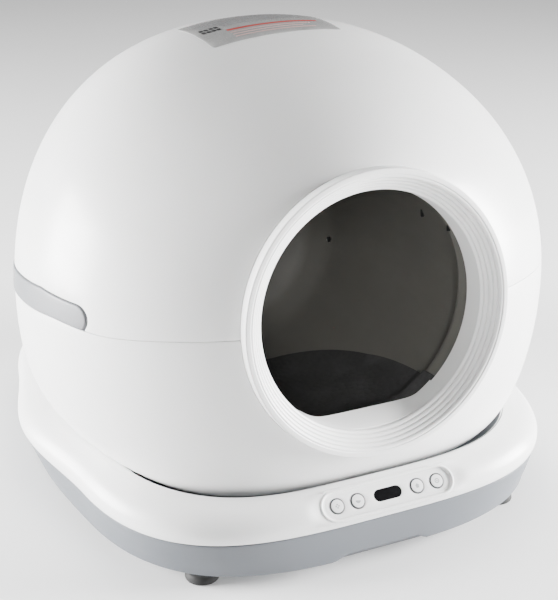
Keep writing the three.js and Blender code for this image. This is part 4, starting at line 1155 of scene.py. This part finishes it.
def build_deck():
    hole = rounded_square(HOLE["half_width"], HOLE["front"], HOLE["rear"], HOLE_MIDDLE, HOLE["power"])
    toward = units(hole - hole.mean(axis=0))
    top, bottom = DECK_Z / MM, HOLE["bottom"] / MM

    def hole_row(grow, z):
        return at_height(hole + grow * MM * toward, z * MM)

    well = ((0, bottom), (0, top - 2.5), (0.3, top - 1.2), (1.2, top - 0.3), (2.4, top))
    rows = [hole_row(grow, z) for grow, z in well]
    rows += [base_row(*row) for row in through(DECK_OUTSIDE, 6)]
    rows.append(base_row(*DECK_EDGE, (SEAM_Z + GAP) / MM))
    rows += [base_row(*row) for row in DECK_INSIDE]
    rows += [hole_row(3, top - 3.4), hole_row(3, bottom)]
    rows = [flattened(row) for row in rows]
    deck = piece("deck", lofted(rows, ring=True), "shell_white", "base", ["base_deck"])
    recess = stadium(PANEL["half_length"], PANEL["rim"] - 1.2 * MM, 40)
    combine(deck, prism(recess, -14 * MM, 14 * MM, on_panel))
    combine(deck, drawer_cutter())


def drawer_cutter():
    half, cut = DRAWER_OPENING["half_width"], DRAWER_OPENING["cut"]
    outline = box_outline(-half, DRAWER_OPENING["bottom"], half, DRAWER_OPENING["top"], cut, 4)
    return prism(outline, REAR_FROM, REAR_TO, facing_rear(0.0, 0.0))


def facing_rear(x, z):
    """A map for outlines drawn on an upright plane, with their origin at (x, z)."""

    def place(outline, y):
        return np.column_stack([x + outline[:, 0], np.full(len(outline), y), z + outline[:, 1]])

    return place


def build_panel():
    """The recessed control panel: a rim, a floor with holes, a dark sheet of painted shade under the holes,
    four buttons and a display.
    """
    rim, recess, half, depth = PANEL["rim"], PANEL["recess"], PANEL["half_length"], PANEL["depth"]
    crest = 0.95 * MM
    corners = [
        (rim + 0.4 * MM, -3 * MM, 0),
        (rim + 0.2 * MM, -0.05 * MM, 0.5 * MM),
        (rim - 0.3 * MM, crest, 0.8 * MM),
        (recess + 0.9 * MM, crest, 0.9 * MM),
        (recess + 0.1 * MM, -depth, 0.5 * MM),
        (recess - 2.5 * MM, -depth, 0),
        (recess - 2.5 * MM, -3 * MM, 0),
    ]
    profile = rounded(corners, 6, closed=False)
    rows = [on_panel(stadium(half, radius, 40), height) for radius, height in profile]
    piece("panel_rim", lofted(rows, ring=True), "shell_white", "base", crease=ROUND_CREASE)

    xs = [JOINTS[f"button_{number}_press"]["pos_m"][0] - PANEL_X for number in (1, 2, 3, 4)]
    edge = stadium(half, recess - 2.3 * MM, 40)
    holes = [circle(BUTTON_R + BUTTON_CLEARANCE, 64, x) for x in xs]
    holes.append(stadium(DISPLAY_HALF, DISPLAY_R + 0.25 * MM))
    floor = skin([edge, *holes], 4 * MM, panel_place(-depth), 1.6 * MM, 0.25 * MM, 3)
    piece("panel_floor", floor, "shell_white", "base")
    # A dark sheet under the floor paints the shade seen through the gaps round the buttons and the display.
    edge = stadium(half, recess - 3 * MM, 40)
    shade_sheet = skin([edge], 12 * MM, panel_place(-3.9 * MM), 0.6 * MM, 0.2 * MM, 2)
    piece("panel_gap_shade", shade_sheet, "gap_dark", "base")
    for number, x in enumerate(xs, 1):
        build_button(number, x)
    build_display()


def build_display():
    """A flush black window with a soft edge: (inset, height) in millimetres."""
    edge = ((0.0, -5), (0.0, -1.8), (0.25, -1.5), (0.8, -1.42))
    rows = [on_panel(stadium(DISPLAY_HALF, DISPLAY_R - inset * MM), height * MM) for inset, height in edge]
    piece("display_glass", lofted(rows), "gloss_black", "base", ["display_window"])


def button_rows(profile, x):
    """Loops round a button's middle for (radius, height) points in millimetres."""
    return [on_panel(circle(radius * MM, 64, x), height * MM) for radius, height in profile]


def build_button(number, x):
    """A shallow domed cap over its flange, with a dark ring of painted shade where it meets the panel."""
    body = f"button_{number}"
    cap, flange = BUTTON_R / MM, BUTTON_FLANGE_R / MM
    dome = [
        (0.4, -7.6), (flange, -7.6), (flange, -6.4), (cap - 0.15, -6.4), (cap - 0.15, -1.5),
        (cap - 0.3, -1.15), (cap - 0.7, -0.98), (cap - 2.2, -0.88), (2.4, -0.82), (0.4, -0.8),
    ]
    made = lofted(button_rows(dome, x))
    piece(f"button_cap_{number}", made, "trim_white", body, [body], crease=ROUND_CREASE)
    # The dark ring is painted shade in the gap round the cap.
    ring = [
        (cap + 0.1, -1.72), (cap + 0.1, -1.15), (cap - 0.95, -0.84), (cap - 1.1, -0.95), (cap - 0.4, -1.6),
    ]
    made = lofted(button_rows(ring, x), ring=True)
    piece(f"button_gap_shade_{number}", made, "gap_dark", body, [], ROUND_CREASE)
    for mark, loops in enumerate(icon(number)):
        loops = [loop + (x, 0) for loop in loops]
        made = skin(loops, 1 * MM, panel_place(-0.74 * MM), 0.12 * MM, 0.03 * MM, 1)
        piece(f"button_icon_{number}_{mark}", made, "icon_grey", body)


def icon(number):
    """The marks on a button: each is an outline, then its holes."""
    if number == 1:
        middles = ((0, 1.5), (-1.5, 0), (1.5, 0), (0, -1.5))
        return [[circle(0.75 * MM, 16, x * MM, y * MM)] for x, y in middles]
    if number == 2:
        return [[circle(2.6 * MM, 32, 0, 0.4 * MM)[15:33]]]
    if number == 3:
        house = [(-2.3, 0.2), (0, 2.5), (2.3, 0.2), (1.5, 0.2), (1.5, -2.0), (-1.5, -2.0), (-1.5, 0.2)]
        return [[resample(np.array(house) * MM, 60)]]
    return [[circle(2.4 * MM, 36), circle(1.6 * MM, 30)], [circle(0.7 * MM, 16)]]


def notched(row):
    """Lifts the tub's foot along a stretch of its front."""
    front = row[:, 1] < BASE_Y - 200 * MM
    left = smooth((row[:, 0] - NOTCH["left"]) / NOTCH_RAMPS[0])
    right = smooth((NOTCH["right"] - row[:, 0]) / NOTCH_RAMPS[1])
    low = np.clip((FLOOR_Z + NOTCH["fade"] - row[:, 2]) / NOTCH["fade"], 0, 1)
    row[:, 2] += front * left * right * low * NOTCH["height"]
    return row


def build_base_tub():
    rows = [notched(base_row(*row)) for row in (*TUB_FOOT, *through(TUB_SIDE, 5), *TUB_RIM)]
    rows += [base_row(*row) for row in TUB_INSIDE]
    tub = piece("base_tub", lofted(rows), "base_grey", "base", ["lower_base"])
    combine(tub, drawer_cutter())
    for corner in CORNERS:
        x, y = middle_of(f"chassis_screw_{corner}")
        post = bulk(lofted([at_height(circle(r * MM, 40, x, y), z * MM) for r, z in POST]))
        combine(tub, post, "UNION")


# ---- Rear tower ---------------------------------------------------------------------------------
# Where the tower's front is, as (height, distance behind the base's middle).
TOWER_LINE = np.array([(60, -22), (86, -22), (109, 62), (113, 93), (150, 108), (184, 124), (203, 150)]) * MM
TOWER_BOTTOM = 60 * MM
TOWER_TOP = TOWER_LINE[-1, 0]
TOWER = {"half_width": 244 * MM, "half_depth": 279 * MM, "wall": 3 * MM, "soft": 5 * MM}
TOWER_TO_GLOBE = 4 * MM
TOWER_LEAN = np.array([(60, -4), (120, -2), (220, 0)]) * MM
TOWER_STEEP = (84 * MM, 114 * MM)
TOWER_CREASE = 40


def tower_section(z, inset):
    """One level of the tower: a rear-rounded outline, cut off at its front with soft corners."""
    front = BASE_Y + np.interp(z, TOWER_LINE[:, 0], TOWER_LINE[:, 1]) + inset
    grow = np.interp(z, TOWER_LEAN[:, 0], TOWER_LEAN[:, 1])
    depth = TOWER["half_depth"] + grow - inset
    full = rounded_square(TOWER["half_width"] + grow - inset, depth, depth, BASE_Y, BASE_POWER, 1200)
    soft, lean = TOWER["soft"], 0.2 * MM
    rear = full[full[:, 1] > front + soft]
    rear = rear[np.argsort(np.arctan2(rear[:, 1] - front - soft, rear[:, 0]))]
    (right_x, right_y), (left_x, left_y) = rear[0], rear[-1]
    right = [(right_x, right_y, 0), (right_x + lean, front, soft), (right_x - 4 * soft, front, 0)]
    left = [(left_x + 4 * soft, front, 0), (left_x - lean, front, soft), (left_x, left_y, 0)]
    right, left = rounded(right, 10, closed=False), rounded(left, 10, closed=False)
    return resample(np.vstack([left[1:], rear[::-1], right[:-1]]), 420)


def tower_levels(bottom, steps, top):
    """Heights for sections, closest together where the tower's front slopes most."""
    steep = np.linspace(*TOWER_STEEP, steps[0])
    return [bottom, *steep, *np.linspace(TOWER_STEEP[1] + 2 * MM, top, steps[1])]


def build_tower():
    """A cowl that wraps the back of the globe, with a place for the power inlet."""
    wall, edge, gap = TOWER["wall"], 3 * MM, TOWER_TO_GLOBE
    levels = tower_levels(TOWER_BOTTOM, (46, 40), TOWER_TOP - edge)
    rows = [at_height(tower_section(z, 0), z) for z in levels]
    for turn in np.linspace(0.2, math.pi / 2, 6):
        z = TOWER_TOP - edge * (1 - math.sin(turn))
        rows.append(at_height(tower_section(TOWER_TOP, edge * (1 - math.cos(turn))), z))
    made = lofted(rows)
    tower = piece("tower_cowl", made, "shell_white", "base", ["rear_tower"], crease=TOWER_CREASE)

    levels = tower_levels(TOWER_BOTTOM - 1 * MM, (24, 20), TOWER_TOP - wall)
    hollow = bulk(lofted([at_height(tower_section(z, wall), z) for z in levels]))
    combine(hollow, globe_bulk(gap + wall))
    deck_top = base_row(234, 260.5, DECK_Z / MM)[:, :2]
    low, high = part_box("power_inlet")
    inlet = facing_rear((low.x + high.x) / 2, (low.z + high.z) / 2)
    cutters = (
        globe_bulk(gap),
        hollow,
        prism(deck_top, 40 * MM, DECK_Z + GAP, at_height),
        drawer_cutter(),
        prism(circle(INLET_HOLE_R, 40), REAR_FROM, REAR_TO, inlet),
    )
    for cutter in cutters:
        combine(tower, cutter, crease=TOWER_CREASE)


def globe_bulk(grow, around=120):
    """The globe as one solid, a little larger, for cutting its place out of other pieces."""
    longitudes = np.linspace(0, 2 * math.pi, around, endpoint=False)
    level = np.stack([np.cos(longitudes), np.sin(longitudes), np.zeros(around)], axis=1)
    rows = []
    for latitude in np.linspace(-0.98, 1.56, 70):
        directions = math.cos(latitude) * level + math.sin(latitude) * UPRIGHT
        points = surface_along(GLOBE_MIDDLE, directions, 0.05, 0.5)
        rows.append(points + grow * globe_normals(points))
    return bulk(lofted(rows))


# ---- CAD nodes that keep their shape ------------------------------------------------------------
SOFT_EDGES = ["chassis_plate", "waste_drawer", "rear_bearing_bracket", "gearbox", "bag_frame", "drum_sieve"]
DRIVE_PARTS = ["drum_gear_ring", "drum_track_ring", "rear_bush", "drive_pinion"]
KEPT = {
    "base_grey": [*SOFT_EDGES[:4], "roller_bracket_left", "roller_bracket_right"],
    "drum_dark": ["drum_sieve"],
    "nylon": [*DRIVE_PARTS, "drawer_rail_left", "drawer_rail_right"],
    "steel": ["drum_hub", "roller_axle_left", "roller_axle_right", "motor"],
    "foot_rubber": ["roller_left", "roller_right"],
    "circuit_green": ["main_board", "control_board"],
    "trim_white": ["bag_frame"],
    "gloss_black": ["power_inlet"],
}
for corner in CORNERS:
    KEPT["steel"] += [f"load_cell_{corner}", f"chassis_screw_{corner}"]


def dress_kept_nodes():
    for material, names in KEPT.items():
        for name in names:
            node = frame["nodes"][name]
            node.data.materials.clear()
            node.data.materials.append(MATERIALS[material])
            node.data.set_sharp_from_angle(angle=math.radians(CREASE))
            if name in SOFT_EDGES:
                bevel = node.modifiers.new("edges", "BEVEL")
                bevel.width = 0.5 * MM
                bevel.segments = 2
                bevel.limit_method = "ANGLE"
                bevel.angle_limit = math.radians(40)


def build_feet():
    """Round rubber feet with a groove: (radius, height) in millimetres."""
    for corner in CORNERS:
        foot = f"foot_{corner}"
        x, y = middle_of(foot)
        radius = (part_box(foot)[1].x - x) / MM
        pad = [(0.3, 1.2), (10, 1.2), (10.6, 0), (radius - 1.4, 0), (radius - 0.3, 0.7), (radius, 2)]
        groove = [(radius - 0.6, 7), (radius - 1.6, 8), (radius - 1.6, 10), (radius - 0.6, 11)]
        top = [(radius - 0.6, 14), (4, 14), (4, 18.2), (0.3, 18.2)]
        rows = [at_height(circle(r * MM, 56, x, y), z * MM) for r, z in pad + groove + top]
        made = lofted(rows)
        piece(f"foot_pad_{corner}", made, "foot_rubber", "base", [foot], crease=ROUND_CREASE)


# ---- Stage and camera ---------------------------------------------------------------------------
# From the object to the camera, which looks down on its front left.
CAMERA_AZIMUTH, CAMERA_ELEVATION = math.radians(-24.158), math.radians(23.82)
CAMERA_SIDEWAYS = Vector((math.sin(CAMERA_AZIMUTH), -math.cos(CAMERA_AZIMUTH), 0))
CAMERA_BACK = math.cos(CAMERA_ELEVATION) * CAMERA_SIDEWAYS + Vector((0, 0, math.sin(CAMERA_ELEVATION)))
CAMERA_AIM = Vector((0, BASE_Y, 0.1663))
CAMERA_DISTANCE = 1.344
FLOOR_HALF = 6
SOFTBOXES = {
    "left_softbox": {"place": (-2.2, 0.85, 0.55), "size": 1.3, "watts": 400},
    "right_softbox": {"place": (2.1, -0.9, 0.55), "size": 1.1, "watts": 380},
}


def aimed(name, data, place, direction):
    """An object for a lamp or camera that looks along a direction."""
    obj = bpy.data.objects.new(name, data)
    obj.location = place
    obj.rotation_mode = "QUATERNION"
    obj.rotation_quaternion = direction.to_track_quat("-Z", "Y")
    bpy.context.scene.collection.objects.link(obj)
    return obj


def build_stage():
    far = FLOOR_HALF
    corners = [(-far, -far, 0), (far, -far, 0), (far, far, 0), (-far, far, 0)]
    piece("studio_floor", (corners, [(0, 1, 2, 3)]), "studio_floor")

    world = bpy.data.worlds.new("studio")
    bpy.context.scene.world = world
    world.use_nodes = True
    set_inputs(world.node_tree.nodes["Background"], {"Color": (1, 1, 1, 1), "Strength": 0.26})
    middle = Vector((0, BASE_Y, 0.24))
    for name, softbox in SOFTBOXES.items():
        data = bpy.data.lights.new(name, "AREA")
        data.shape = "SQUARE"
        data.size = softbox["size"]
        data.energy = softbox["watts"]
        aimed(name, data, softbox["place"], middle - Vector(softbox["place"]))


def build_entrance_spot():
    """A narrow lamp beside the camera that shows the inside of the drum."""
    data = bpy.data.lights.new("entrance_spot", "SPOT")
    data.energy = 45
    data.shadow_soft_size = 0.05
    data.spot_size = math.radians(10)
    data.spot_blend = 0.5
    aimed("entrance_spot", data, Vector(AXIS_POINT) + 1.3 * CAMERA_BACK, -CAMERA_BACK)


def build_camera():
    data = bpy.data.cameras.new("camera")
    data.sensor_width = 36
    data.lens = 72
    data.shift_x = 0.0251
    data.shift_y = 0.0018
    place = CAMERA_AIM + CAMERA_BACK * CAMERA_DISTANCE
    bpy.context.scene.camera = aimed("camera", data, place, -CAMERA_BACK)


build_camera()
build_stage()
build_entrance_spot()
build_globe()
build_grips()
build_label()
build_entrance()
build_drum()
build_mat()
build_deck()
build_panel()
build_base_tub()
build_tower()
build_feet()
dress_kept_nodes()
